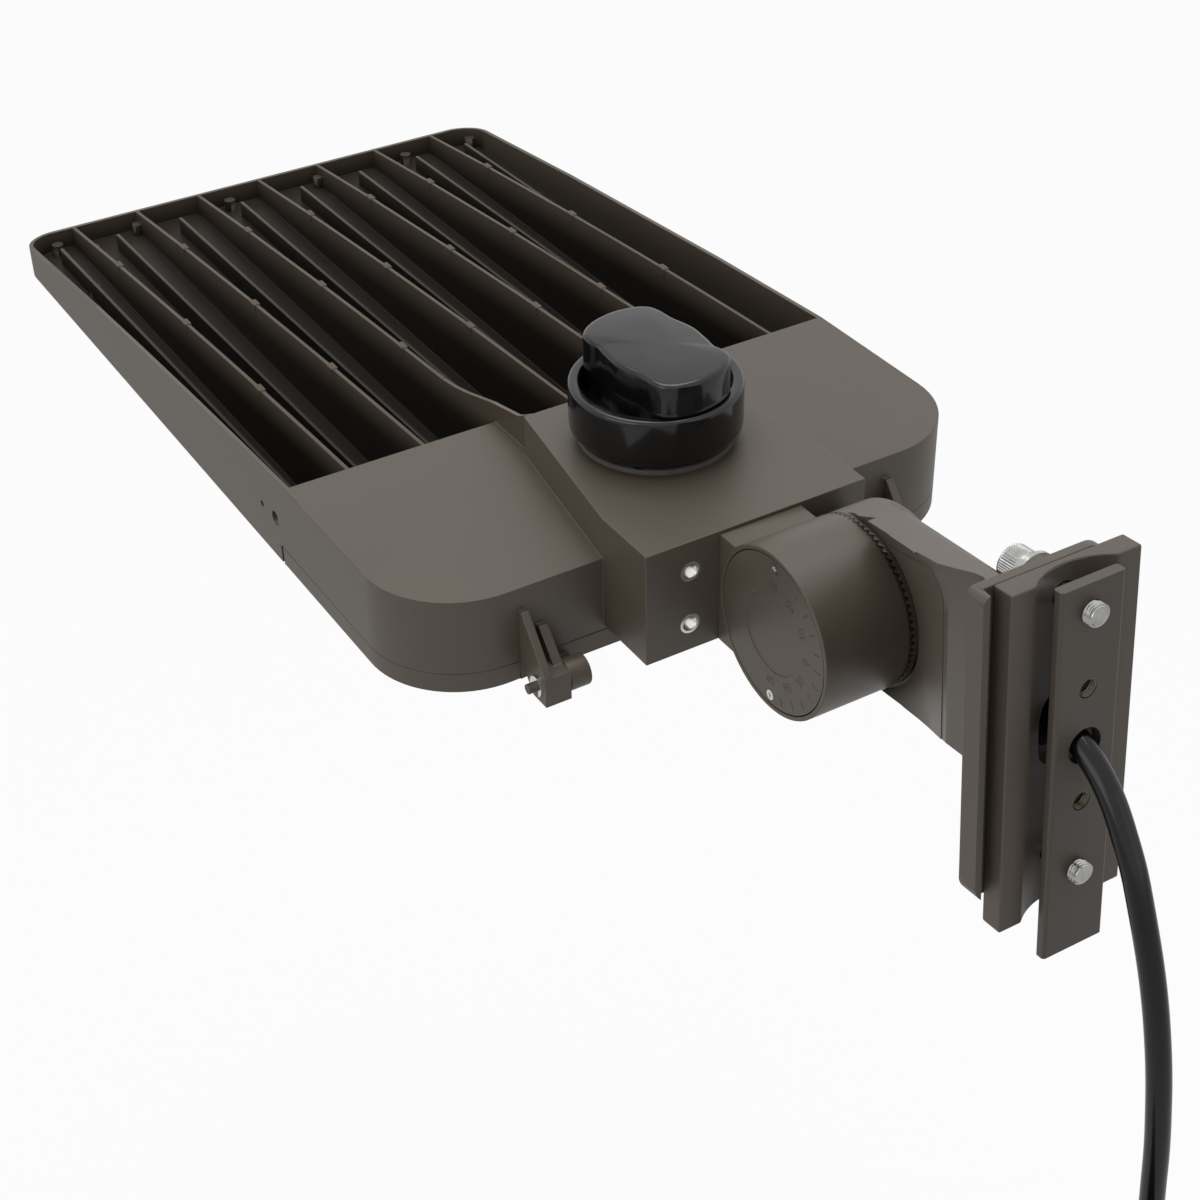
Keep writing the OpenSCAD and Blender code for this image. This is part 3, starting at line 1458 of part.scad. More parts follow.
// Captive screws that hold the door shut
module door_screws() {
    color(steel) in_head() door_screw_places() {
        rod_z(door_screw_d / 2, -overrun, door_screw_l);
        rod_z(door_screw_head_d / 2, -door_screw_head_h + door_t / 2, door_t / 2);
    }
}

arm();
pole_adapter();
back_plate();
clamp_bolts();
lock_washers();
flat_washers();
cord_gland();
cord_run();
cord_coil();
cord_tie();
cord_leads();
pivot_bolt();
pivot_washers();
dial_carrier();
dial_disc();
dial_screws();
knuckle();
knuckle_screws();
housing();
thread_inserts();
led_boards();
led_packages();
lens_panel();
lens_gasket();
lens_screws();
surge_protector();
terminal_block();
receptacle();
receptacle_gasket();
receptacle_screws();
hinge_pins();
hinge_clips();
door();
door_gasket();
driver();
driver_screws();
door_screws();
shorting_cap();
cap_blades();
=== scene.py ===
# %% [markdown]
# # A shoebox area light on its tilting arm
# This lesson dresses a finned outdoor light. Its CAD solids are loaded as a fixed frame, in
# metres: +X points away from the pole, +Y to the dial's side, +Z up. Each cell below makes
# one piece or one finish and fits it to that frame.

# %% Load the frame
import math

import bmesh
import bpy
from mathutils import Matrix, Vector


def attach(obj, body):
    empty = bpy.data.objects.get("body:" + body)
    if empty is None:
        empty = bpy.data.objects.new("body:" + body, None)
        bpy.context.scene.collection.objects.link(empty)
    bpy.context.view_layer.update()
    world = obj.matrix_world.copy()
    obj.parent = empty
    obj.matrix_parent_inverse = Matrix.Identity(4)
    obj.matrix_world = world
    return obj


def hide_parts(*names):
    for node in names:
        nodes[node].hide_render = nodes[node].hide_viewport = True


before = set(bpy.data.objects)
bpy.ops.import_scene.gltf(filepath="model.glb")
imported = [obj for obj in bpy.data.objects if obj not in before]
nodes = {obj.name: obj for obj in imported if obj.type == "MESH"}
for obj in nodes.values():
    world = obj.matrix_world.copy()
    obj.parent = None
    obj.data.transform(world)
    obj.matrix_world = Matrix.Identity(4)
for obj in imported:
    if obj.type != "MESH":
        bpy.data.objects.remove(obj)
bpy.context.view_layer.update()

# %% [markdown]
# ## The camera
# The picture looks down on the light from behind, on the dial's side. The place, the turn and
# the lens below were solved from fin ends, rim corners and bolt centres whose real places are
# known, so the camera can be set once and left alone.

# %% Camera
MM = 0.001
CAMERA_PLACE = Vector((-523.3, 488.0, 498.1)) * MM
CAMERA_LENS = 66.46
CAMERA_ROLL = math.radians(-4.25)

look = Vector((0.7488, -0.4111, -0.5198)).normalized()
level_right = look.cross(Vector((0, 0, 1))).normalized()
level_up = level_right.cross(look)
right = level_right * math.cos(CAMERA_ROLL) + level_up * math.sin(CAMERA_ROLL)
up = level_up * math.cos(CAMERA_ROLL) - level_right * math.sin(CAMERA_ROLL)
turn = Matrix((right, up, -look)).transposed().to_4x4()

camera_data = bpy.data.cameras.new("camera")
camera_data.sensor_width = 36
camera_data.lens = CAMERA_LENS
camera_data.clip_start = 0.02
camera = bpy.data.objects.new("camera", camera_data)
camera.matrix_world = Matrix.Translation(CAMERA_PLACE) @ turn
bpy.context.scene.collection.objects.link(camera)
bpy.context.scene.camera = camera
bpy.context.scene.view_settings.view_transform = "Standard"
print("camera distance to the frame's origin:", round(CAMERA_PLACE.length, 3))

# %% [markdown]
# ## Where the head's parts are
# The head is tilted up by five degrees about the knuckle's axis. Working in the head's own
# coordinates keeps every number plain: x from the tilt axis to the nose, z up from the
# housing's bottom. One matrix brings a finished piece into the frame.

# %% The head's own coordinates
REST_TILT = math.radians(5)
TILT_AXIS = Vector((171.2, 0, -33.2)) * MM
PIVOT_HEIGHT = 42.1
to_head = (Matrix.Translation(TILT_AXIS) @ Matrix.Rotation(-REST_TILT, 4, "Y")
           @ Matrix.Translation((0, 0, -PIVOT_HEIGHT * MM)))
NOSE = Vector((615, 0, 18)) * MM
print("nose in the frame:", [round(v, 4) for v in to_head @ NOSE])


# %% [markdown]
# ## Finishes
# Real finishes are never one flat colour. Each material here starts from the same few nodes:
# a broad noise that shifts the colour and the roughness a little, and a fine noise that feeds
# a bump node at the grain size of the real surface.

# %% A helper for procedural finishes
BROAD_DETAIL = 5
FINE_DETAIL = 3
TONE_STOPS = (0.3, 0.7)  # the values of the broad noise between which the colour shifts
LEAST_ROUGHNESS = 0.02
BUMP_HEIGHT = 0.2 * MM


def finish(name, colour, roughness, metallic=0.0, shift=0.12, patch=18.0, grain=900.0,
           grain_depth=0.1, rough_shift=0.08, coat=0.0, coat_roughness=0.1, specular=0.5):
    """A material whose colour, roughness and relief all vary over the object's own coordinates."""
    made = bpy.data.materials.new(name)
    made.use_nodes = True
    tree = made.node_tree
    shader = tree.nodes["Principled BSDF"]
    place = tree.nodes.new("ShaderNodeTexCoord")
    broad = tree.nodes.new("ShaderNodeTexNoise")
    broad.inputs["Scale"].default_value = patch
    broad.inputs["Detail"].default_value = BROAD_DETAIL
    tone = tree.nodes.new("ShaderNodeValToRGB")
    for i, factor in enumerate((1 - shift, 1 + shift)):
        tone.color_ramp.elements[i].position = TONE_STOPS[i]
        tone.color_ramp.elements[i].color = [min(1, c * factor) for c in colour] + [1]
    spread = tree.nodes.new("ShaderNodeMapRange")
    spread.inputs["To Min"].default_value = max(LEAST_ROUGHNESS, roughness - rough_shift)
    spread.inputs["To Max"].default_value = min(1, roughness + rough_shift)
    fine = tree.nodes.new("ShaderNodeTexNoise")
    fine.inputs["Scale"].default_value = grain
    fine.inputs["Detail"].default_value = FINE_DETAIL
    bump = tree.nodes.new("ShaderNodeBump")
    bump.inputs["Strength"].default_value = grain_depth
    bump.inputs["Distance"].default_value = BUMP_HEIGHT
    link = tree.links.new
    for noise in (broad, fine):
        link(place.outputs["Object"], noise.inputs["Vector"])
    link(broad.outputs["Fac"], tone.inputs["Fac"])
    link(broad.outputs["Fac"], spread.inputs["Value"])
    link(tone.outputs["Color"], shader.inputs["Base Color"])
    link(spread.outputs["Result"], shader.inputs["Roughness"])
    link(fine.outputs["Fac"], bump.inputs["Height"])
    link(bump.outputs["Normal"], shader.inputs["Normal"])
    shader.inputs["Metallic"].default_value = metallic
    shader.inputs["Coat Weight"].default_value = coat
    shader.inputs["Coat Roughness"].default_value = coat_roughness
    shader.inputs["Specular IOR Level"].default_value = specular
    return made


powder_coat = finish("bronze_powder_coat", (0.088, 0.0705, 0.0535), 0.42, shift=0.05, patch=9,
                     grain=2600, grain_depth=0.35, rough_shift=0.04)
dark_coat = finish("bronze_coat_on_steel", (0.07, 0.057, 0.045), 0.45, shift=0.06, patch=14,
                   grain=2600, grain_depth=0.3, rough_shift=0.05)
bright_steel = finish("bright_stainless", (0.78, 0.77, 0.75), 0.22, metallic=1.0, shift=0.06,
                      patch=300, grain=3000, grain_depth=0.08)
gloss_black = finish("glossy_black_moulding", (0.006, 0.006, 0.0065), 0.16, shift=0.1, patch=30,
                     grain=700, grain_depth=0.015, rough_shift=0.03, coat=0.15, coat_roughness=0.05,
                     specular=0.4)
zinc_steel = finish("zinc_plated_steel", (0.44, 0.44, 0.43), 0.2, metallic=1.0, shift=0.12,
                    patch=220, grain=3000, grain_depth=0.1)
# the threads' own olive tone, made darker as painted shade deep in the tapped holes
olive_thread_and_painted_shade = finish("passivated_thread_with_painted_shade", (0.13, 0.125, 0.085), 0.38, metallic=0.6, shift=0.12,
                    patch=200, grain=2600, grain_depth=0.15)
matt_black = finish("matt_black_nylon", (0.012, 0.012, 0.012), 0.5, shift=0.15, patch=60,
                    grain=2200, grain_depth=0.15)
jacket = finish("cord_jacket_black", (0.006, 0.006, 0.0065), 0.19, shift=0.2, patch=40, grain=1200,
                grain_depth=0.12, rough_shift=0.06, specular=0.35)
copper = finish("stripped_copper", (0.72, 0.36, 0.2), 0.3, metallic=1.0, shift=0.1, patch=400)
blade_brass = finish("stamped_brass", (0.76, 0.56, 0.26), 0.28, metallic=1.0, shift=0.06, patch=80)
seal = finish("grey_foam_seal", (0.09, 0.08, 0.072), 0.75, shift=0.12, patch=90, grain=1600,
              grain_depth=0.4)
board_white = finish("white_solder_mask", (0.72, 0.74, 0.7), 0.45, shift=0.03, patch=60)
phosphor = finish("phosphor_yellow", (0.78, 0.6, 0.12), 0.5, shift=0.06, patch=400)
can_metal = finish("driver_can_metal", (0.62, 0.62, 0.6), 0.38, metallic=1.0, shift=0.05, patch=25)
print("finishes:", len(bpy.data.materials))

# %% [markdown]
# ## Clear optics
# The lens panel is moulded in clear plastic. A transmission shader with a faint tint shows the
# boards behind it, and a little bump keeps it from looking like window glass.

# %% Clear lens finish
lens_clear = finish("clear_lens_moulding", (0.9, 0.93, 0.95), 0.08, shift=0.02, patch=40,
                    grain=500, grain_depth=0.03, rough_shift=0.02)
lens_shader = lens_clear.node_tree.nodes["Principled BSDF"]
LENS_CLEARNESS = 0.85
ACRYLIC_IOR = 1.49
lens_shader.inputs["Transmission Weight"].default_value = LENS_CLEARNESS
lens_shader.inputs["IOR"].default_value = ACRYLIC_IOR
print("lens transmission:", LENS_CLEARNESS)

# %% [markdown]
# ## Painting the CAD nodes
# Nodes whose shape is right keep their mesh and only get a finish. A table from node to
# finish keeps that in one place.

# %% Finish of every node
node_finish = {
    "arm": powder_coat, "pole_adapter": powder_coat, "back_plate": dark_coat,
    "clamp_bolts": zinc_steel, "lock_washers": zinc_steel, "flat_washers": zinc_steel,
    "cord_gland": matt_black, "cord_run": jacket, "cord_coil": jacket, "cord_tie": matt_black,
    "cord_leads": copper, "pivot_bolt": bright_steel, "pivot_washers": bright_steel,
    "dial_carrier": dark_coat, "dial_disc": powder_coat, "dial_screws": bright_steel,
    "knuckle": powder_coat, "knuckle_screws": bright_steel, "housing": powder_coat,
    "thread_inserts": bright_steel, "led_boards": board_white, "led_packages": phosphor,
    "lens_panel": lens_clear, "lens_gasket": seal, "lens_screws": bright_steel,
    "surge_protector": matt_black, "terminal_block": board_white, "receptacle": matt_black,
    "receptacle_gasket": seal, "receptacle_screws": bright_steel, "hinge_pins": dark_coat,
    "hinge_clips": bright_steel, "door": powder_coat, "door_gasket": seal, "driver": can_metal,
    "driver_screws": bright_steel, "door_screws": bright_steel, "shorting_cap": gloss_black,
    "cap_blades": blade_brass,
}
for name, node in nodes.items():
    node.data.materials.clear()
    node.data.materials.append(node_finish[name])
print("painted nodes:", len(node_finish))

# %% [markdown]
# ## The supply cord
# A rubber cord leaves the gland inside the neck, passes the pole's wall and hangs down under
# its own weight. The spare length is wound into two neat turns below the picture. A curve
# with a round bevel is the natural tool: one spline, one diameter. The points repeat the
# route of the CAD solid.

# %% Supply cord
CORD_DIAMETER = 10.5 * MM
COIL_RADIUS = 52.5
COIL_STEP = 11.3  # how far one turn lies behind the last
COIL_TURNS = 2
TURN_STEPS = 24
COIL_START = (-64, -242)  # x and z where the hanging run ends
COIL_LEAD = 10.5  # straight run into the coil and out of it
route = [(24, 0, 4), (19, 0, 4), (14, 0, 4), (8, 0, 3.6), (2, 0, 2.6), (-4, 0, 0.6),
         (-9, 0, -1.8), (-15, 0, -5.6), (-20, 0, -9.8), (-24, 0, -14), (-29, 0, -21),
         (-33, 0, -28), (-37, 0, -35.5), (-40, 0, -42), (-44, 0, -53), (-48, 0, -65),
         (-52, 0, -78), (-56, 0, -94), (-59, 0, -110), (-61.5, 0, -128), (-63, 0, -146),
         (-64, 0, -166), (-64, 0, -188), (-64, 0, -212), (-64, 0, -242)]
coil_middle = COIL_START[1] - COIL_LEAD
for step in range(COIL_TURNS * TURN_STEPS + 1):
    angle = math.pi + math.tau * step / TURN_STEPS
    route.append((COIL_START[0] - COIL_STEP * step / TURN_STEPS,
                  COIL_RADIUS + COIL_RADIUS * math.cos(angle),
                  coil_middle + COIL_RADIUS * math.sin(angle)))
route.append((COIL_START[0] - COIL_TURNS * COIL_STEP, 0, coil_middle - COIL_LEAD))
route = [Vector(p) * MM for p in route]

cord_curve = bpy.data.curves.new("supply_cord", "CURVE")
cord_curve.dimensions = "3D"
cord_curve.bevel_depth = CORD_DIAMETER / 2
cord_curve.bevel_resolution = 7
cord_curve.resolution_u = 4
cord_curve.use_fill_caps = True
spline = cord_curve.splines.new("BEZIER")
spline.bezier_points.add(len(route) - 1)
for point, place in zip(spline.bezier_points, route):
    point.co = place
    point.handle_left_type = point.handle_right_type = "AUTO"
cord = bpy.data.objects.new("supply_cord", cord_curve)
bpy.context.scene.collection.objects.link(cord)
cord_curve.materials.append(jacket)
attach(cord, "arm")
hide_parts("cord_run", "cord_coil")

# %% [markdown]
# ## Rounded edges
# A solid straight from CAD has perfectly sharp edges, and a real casting has none: light
# catches a small radius on every rim. The helper softened() copies a node's mesh, welds it,
# clears the flat triangles, and rounds what is left with the bevel operator. The copy then
# stands for the node, which stays untouched.

# %% Helpers for pieces
def finished_mesh(builder, name, crease=None):
    """Turns a bmesh into a mesh; a crease angle in degrees makes it smooth up to that angle."""
    mesh = bpy.data.meshes.new(name)
    if crease is not None:
        for face in builder.faces:
            face.smooth = True
    builder.to_mesh(mesh)
    builder.free()
    if crease is not None:
        mesh.set_sharp_from_angle(angle=math.radians(crease))
    return mesh


def add_piece(name, mesh, body, look_of):
    """Links a mesh as a piece that rides on a body and wears a finish."""
    piece = bpy.data.objects.new(name, mesh)
    bpy.context.scene.collection.objects.link(piece)
    mesh.materials.append(look_of)
    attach(piece, body)
    return piece


def skin(builder, rows, closed=True):
    """Joins rows of vertices with faces; closed rows also join their last point to the first."""
    for low, high in zip(rows, rows[1:]):
        for i in range(len(low) if closed else len(low) - 1):
            j = (i + 1) % len(low)
            builder.faces.new((low[i], low[j], high[j], high[i]))


print("helpers for pieces are ready")

# %% A helper that rounds a node's edges
WELD = 0.004 * MM
FLAT_ANGLE = math.radians(0.8)
SHARP_ANGLE = math.radians(26)
EDGE_SEGMENTS = 2
CAST_CREASE = 34
TEETH = (-28.9 * MM, -22.2 * MM)  # between these places in Y the toothed rims stay sharp


def among_teeth(edge):
    """True for an edge that lies wholly in the teeth's range."""
    return all(TEETH[0] < vert.co.y < TEETH[1] for vert in edge.verts)


def softened(node, body, look_of, width, shortest=2.2, toothed=False):
    """A merged copy of a node whose sharp edges are rounded; it stands for that node.

    Edges under a few widths long stay sharp, and so do the teeth of a toothed node.
    """
    builder = bmesh.new()
    builder.from_mesh(nodes[node].data)
    bmesh.ops.remove_doubles(builder, verts=builder.verts, dist=WELD)
    bmesh.ops.dissolve_limit(builder, angle_limit=FLAT_ANGLE, verts=builder.verts,
                             edges=builder.edges)
    sharp = [edge for edge in builder.edges
             if len(edge.link_faces) == 2 and edge.calc_face_angle(0) > SHARP_ANGLE
             and edge.calc_length() > shortest * width
             and not (toothed and among_teeth(edge))]
    bmesh.ops.bevel(builder, geom=sharp, offset=width, offset_type="OFFSET", affect="EDGES",
                    segments=EDGE_SEGMENTS, profile=0.5, material=-1, clamp_overlap=False)
    mesh = finished_mesh(builder, node + "_cast", CAST_CREASE)
    piece = add_piece(node + "_cast", mesh, body, look_of)
    weight = piece.modifiers.new("even shading", "WEIGHTED_NORMAL")
    weight.keep_sharp = True
    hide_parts(node)
    return piece


rounded = [
    softened("arm", "arm", powder_coat, 0.45 * MM, shortest=12, toothed=True),
    softened("pole_adapter", "arm", powder_coat, 0.8 * MM),
    softened("back_plate", "plate", dark_coat, 0.5 * MM),
    softened("knuckle", "head", powder_coat, 0.5 * MM, toothed=True),
    softened("dial_disc", "pivot", powder_coat, 0.15 * MM),
    softened("door", "door", powder_coat, 0.5 * MM),
    softened("receptacle_gasket", "head", seal, 0.4 * MM),
]
print("rounded pieces:", [(piece.name, len(piece.data.polygons)) for piece in rounded])

# %% [markdown]
# ## The wall beside the collar
# The hollow neck is closed on the dial's side by a thin cast wall. Its surface is ruled: each
# line runs from a place on the flange's left edge to an angle on the ring's collar. The neck's
# sloping underside trims the wall, and the solidify operator gives it its thickness.

# %% Neck wall
# all in millimetres of the frame: the collar's centre, the flange's left edge from its top to
# its foot, and a place on the neck's underside
COLLAR = Vector((171.2, -28.4, -33.2))
COLLAR_RADIUS = 43
FLANGE_TOP = Vector((15.2, 39.5, 73.6))
FLANGE_FOOT = Vector((15.2, 39.5, -70.0))
UNDERSIDE = Vector((16.5, 40, -3))
UNDERSIDE_NORMAL = Vector((-0.0004, 0.7241, -0.6897))  # down and to the dial's side
UNDERSIDE_GAP = 0.6
WALL_STATIONS = (0.42, 0.6, 0.8, 0.985)  # shares of the way from the flange to the collar
WALL_INSET = Vector((-0.2, -0.5, 0))
WALL_THICKNESS = 1.2
WALL_CREASE = 40

# degrees round the collar, and share of the way down the flange's edge
wall_lines = ([(degrees, 0.0) for degrees in range(118, 181, 4)]
              + [(180, k / 6) for k in range(1, 6)]
              + [(degrees, 1.0) for degrees in range(182, 243, 4)])
wall_builder = bmesh.new()
wall_rows = []
for degrees, share in wall_lines:
    a = math.radians(degrees)
    far = COLLAR + Vector((math.cos(a), 0, math.sin(a))) * COLLAR_RADIUS
    near = FLANGE_TOP.lerp(FLANGE_FOOT, share)
    wall_rows.append([wall_builder.verts.new((near.lerp(far, station) + WALL_INSET) * MM)
                      for station in WALL_STATIONS])
skin(wall_builder, wall_rows, closed=False)
bmesh.ops.bisect_plane(
    wall_builder, geom=wall_builder.verts[:] + wall_builder.edges[:] + wall_builder.faces[:],
    plane_co=(UNDERSIDE - UNDERSIDE_GAP * UNDERSIDE_NORMAL) * MM, plane_no=UNDERSIDE_NORMAL,
    clear_outer=True)
bmesh.ops.recalc_face_normals(wall_builder, faces=wall_builder.faces)
bmesh.ops.solidify(wall_builder, geom=wall_builder.faces[:], thickness=WALL_THICKNESS * MM)
bmesh.ops.recalc_face_normals(wall_builder, faces=wall_builder.faces)
wall_mesh = finished_mesh(wall_builder, "neck_wall", WALL_CREASE)
add_piece("neck_wall", wall_mesh, "arm", powder_coat)
print("neck wall faces:", len(wall_mesh.polygons))

# %% [markdown]
# ## The finned housing
# The housing gets the same rounding. Deep between the fins the bays lie in shade, and a second
# finish with the same grain paints that shade in: its colour darkens with depth below the rim,
# so the bays look almost black while the fins' rims stay pale. The rim is nearly one sloping
# plane, so a dot product gives that depth.

# %% Painted shade inside the bays
RIM_REAR = Vector((213.8, 0, 51.8))
RIM_NOSE = Vector((612.4, 0, 18.4))
# painted shade: below the rim the bays' colour is multiplied down with depth, to the last share at
# full depth
SHADE_START_DEPTH = 1.2
FULL_SHADE_DEPTH = 15
PAINTED_SHADE_TONE = 0.2
BAY_SPECULAR = 0.22

rim_rear = to_head @ (RIM_REAR * MM)
rim_nose = to_head @ (RIM_NOSE * MM)
rim_slope = (rim_nose - rim_rear).normalized()
rim_up = rim_slope.cross(Vector((0, 1, 0))).normalized()
rim_level = rim_up.dot(rim_rear)

bay_painted_shade_coat = powder_coat.copy()
bay_painted_shade_coat.name = "bronze_coat_with_painted_shade_in_the_bays"
bay_tree = bay_painted_shade_coat.node_tree
bay_shader = bay_tree.nodes["Principled BSDF"]
bay_place = bay_tree.nodes.new("ShaderNodeTexCoord")
bay_dot = bay_tree.nodes.new("ShaderNodeVectorMath")
bay_dot.operation = "DOT_PRODUCT"
bay_dot.inputs[1].default_value = rim_up
bay_shade_by_depth = bay_tree.nodes.new("ShaderNodeMapRange")
bay_shade_by_depth.inputs["From Min"].default_value = rim_level - SHADE_START_DEPTH * MM
bay_shade_by_depth.inputs["From Max"].default_value = rim_level - FULL_SHADE_DEPTH * MM
bay_shade_by_depth.inputs["To Min"].default_value = 1.0
bay_shade_by_depth.inputs["To Max"].default_value = PAINTED_SHADE_TONE
# painted shade: multiplies the coat's colour by the share that the depth gives
bay_shade_multiply = bay_tree.nodes.new("ShaderNodeMix")
bay_shade_multiply.data_type = "RGBA"
bay_shade_multiply.blend_type = "MULTIPLY"
bay_shade_multiply.inputs["Factor"].default_value = 1.0
coat_colour = bay_shader.inputs["Base Color"].links[0].from_socket
bay_tree.links.new(bay_place.outputs["Object"], bay_dot.inputs[0])
bay_tree.links.new(bay_dot.outputs["Value"], bay_shade_by_depth.inputs["Value"])
bay_tree.links.new(coat_colour, bay_shade_multiply.inputs["A"])
bay_tree.links.new(bay_shade_by_depth.outputs["Result"], bay_shade_multiply.inputs["B"])
bay_tree.links.new(bay_shade_multiply.outputs["Result"], bay_shader.inputs["Base Color"])
bay_shader.inputs["Specular IOR Level"].default_value = BAY_SPECULAR
print("rim slope:", [round(v, 3) for v in rim_slope])

# %% The housing, with painted shade in the bays
HUMP_HALF_WIDTH = 41
BAY_REAR_BY_HUMP = 178.5
BAY_REAR = 213.5
BAY_NOSE = 612.6
BAY_HALF_WIDTH = 157.3
SIDE_WALL = 157
BAY_FLOOR = 5.5

housing = softened("housing", "head", powder_coat, 0.4 * MM)
# the second slot holds the coat with painted shade, for the faces in the bays
housing.data.materials.append(bay_painted_shade_coat)
from_frame = to_head.inverted()
in_bays = 0
for face in housing.data.polygons:
    x, y, z = (from_frame @ face.center) * 1000
    outward = from_frame.to_3x3() @ face.normal
    rear_end = BAY_REAR_BY_HUMP if abs(y) < HUMP_HALF_WIDTH else BAY_REAR
    outer_side = outward.y * y > 0 and abs(y) > SIDE_WALL
    if rear_end < x < BAY_NOSE and abs(y) < BAY_HALF_WIDTH and z > BAY_FLOOR and not outer_side:
        face.material_index = 1
        in_bays += 1
print("faces in the bays:", in_bays, "of", len(housing.data.polygons))

# %% [markdown]
# ## The twist-lock cap
# The shorting cap is one glossy black moulding: a round skirt with a double lip, and a waved
# grip that a hand can turn. A skirt is a turned shape, so a half section is spun round the
# axis. The grip isn't round, so it is stacked from rings of one smooth outline, each pulled
# in or raised a little, which gives the soft shoulder, the ledge low on the wall and the
# shallow crown. On both sides of the grip the skirt's top sinks into a crescent pocket.

# %% Outline of the grip
# degrees round the cap, and millimetres from its axis
GRIP_TURN_AND_REACH = [(0, 39.9), (10, 39.4), (20, 39.0), (30, 38.2), (38, 37.0), (43, 35.6),
                       (50, 32.0), (55, 28.6), (60, 27.1), (70, 25.7), (80, 24.9), (90, 24.9),
                       (100, 25.3), (110, 25.8), (120, 26.7), (130, 28.3), (138, 31.2),
                       (145, 35.2), (152, 38.6), (160, 40.0), (170, 40.0)]
POINTS_PER_STEP = 5
corners = [(math.radians(turn_by + half), reach) for half in (0, 180)
           for turn_by, reach in GRIP_TURN_AND_REACH]
corners = [Vector((reach * math.cos(a), reach * math.sin(a))) for a, reach in corners]


def through(points, steps):
    """A smooth closed line through points: a cubic blend of the four points round each step."""
    line = []
    count = len(points)
    for i in range(count):
        a, b, c, d = (points[(i + k) % count] for k in (-1, 0, 1, 2))
        for k in range(steps):
            t = k / steps
            line.append(0.5 * (2 * b + (c - a) * t + (2 * a - 5 * b + 4 * c - d) * t * t
                               + (3 * b - a - 3 * c + d) * t ** 3))
    return line


grip_line = through(corners, POINTS_PER_STEP)
print("outline points:", len(grip_line))

# %% Grip rings
CAP_AXIS = Vector((129.1, 0, 0))
SKIRT_TOP = 104.4
CROWN_RISE = 18.75
LEAST_REACH = 2.0
# height above the skirt's top, and how far the outline is pulled in, in millimetres
grip_rings = [(-11.6, 1.0), (-6.0, 1.0), (-0.6, 1.0), (0.0, 0.9), (0.5, 0.5), (0.8, 0.0),
              (1.2, -0.15), (1.7, -0.1), (2.1, 0.05), (2.6, 0.05), (9.0, 0.05), (15.6, 0.05),
              (16.5, 0.2), (17.2, 0.75), (17.6, 1.6),
              (17.75, 2.6), (17.85, 4.2), (18.2, 8.0), (18.5, 13.0), (18.7, 18.0)]
cap_builder = bmesh.new()
rows = []
for rise, pulled in grip_rings:
    row = []
    for point in grip_line:
        flat = point.normalized() * max(point.length - pulled, LEAST_REACH)
        place = CAP_AXIS + Vector((flat.x, flat.y, SKIRT_TOP + rise))
        row.append(cap_builder.verts.new(place * MM))
    rows.append(row)
skin(cap_builder, rows)
crown = cap_builder.verts.new((CAP_AXIS + Vector((0, 0, SKIRT_TOP + CROWN_RISE))) * MM)
top = rows[-1]
for i in range(len(top)):
    cap_builder.faces.new((top[i], top[(i + 1) % len(top)], crown))
cap_builder.faces.new(rows[0][::-1])
print("grip faces:", len(cap_builder.faces))

# %% Skirt, spun
SKIRT_SIDES = 144
CAP_CREASE = 42
# radius and height of the half section, from the cavity under the cap to the grip
skirt_section = [(34.5, 84.1), (34.5, 76.3), (34.9, 76.1), (36.6, 76.1), (37.0, 76.5), (37.0, 79.6),
                 (37.4, 80.0), (40.4, 80.1), (41.3, 80.5), (41.9, 81.4), (42.1, 82.6), (42.2, 84.5),
                 (42.2, 101.6), (42.1, 102.8), (41.8, 103.6), (41.3, 104.1), (40.8, 104.35),
                 (40.2, 104.4), (37.6, 104.4), (37.1, 104.25), (36.75, 103.9), (36.6, 103.3),
                 (36.5, 94.4), (36.2, 93.7), (35.5, 93.4), (20.0, 93.4), (2.0, 93.4)]
profile = [cap_builder.verts.new((CAP_AXIS + Vector((r, 0, z))) * MM) for r, z in skirt_section]
edges = [cap_builder.edges.new(pair) for pair in zip(profile, profile[1:])]
bmesh.ops.spin(cap_builder, geom=profile + edges, cent=CAP_AXIS * MM, axis=(0, 0, 1),
               angle=math.tau, steps=SKIRT_SIDES, use_merge=True, use_duplicate=False)
bmesh.ops.recalc_face_normals(cap_builder, faces=cap_builder.faces)
bmesh.ops.transform(cap_builder, matrix=to_head, verts=cap_builder.verts)
cap_mesh = finished_mesh(cap_builder, "twist_cap", CAP_CREASE)
twist_cap = add_piece("twist_cap", cap_mesh, "cap", gloss_black)
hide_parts("shorting_cap")
print("cap faces:", len(cap_mesh.polygons))

# %% [markdown]
# ## Threads and bolts
# A thread is what makes a bolt's end sparkle. A real helix closes on itself with a trick: each
# row of the grid is half a pitch along, and the last point of a row joins the row after next.
# The same helper makes an outside thread on the bolts and an inside one in tapped holes.

# %% Helpers for threads and turned parts
THREAD_SIDES = 40


def around_x(centre, x, reach, a):
    """A point at an angle round an X axis through centre; millimetres in, metres out."""
    return Vector((x, centre[1] + reach * math.cos(a), centre[2] + reach * math.sin(a))) * MM


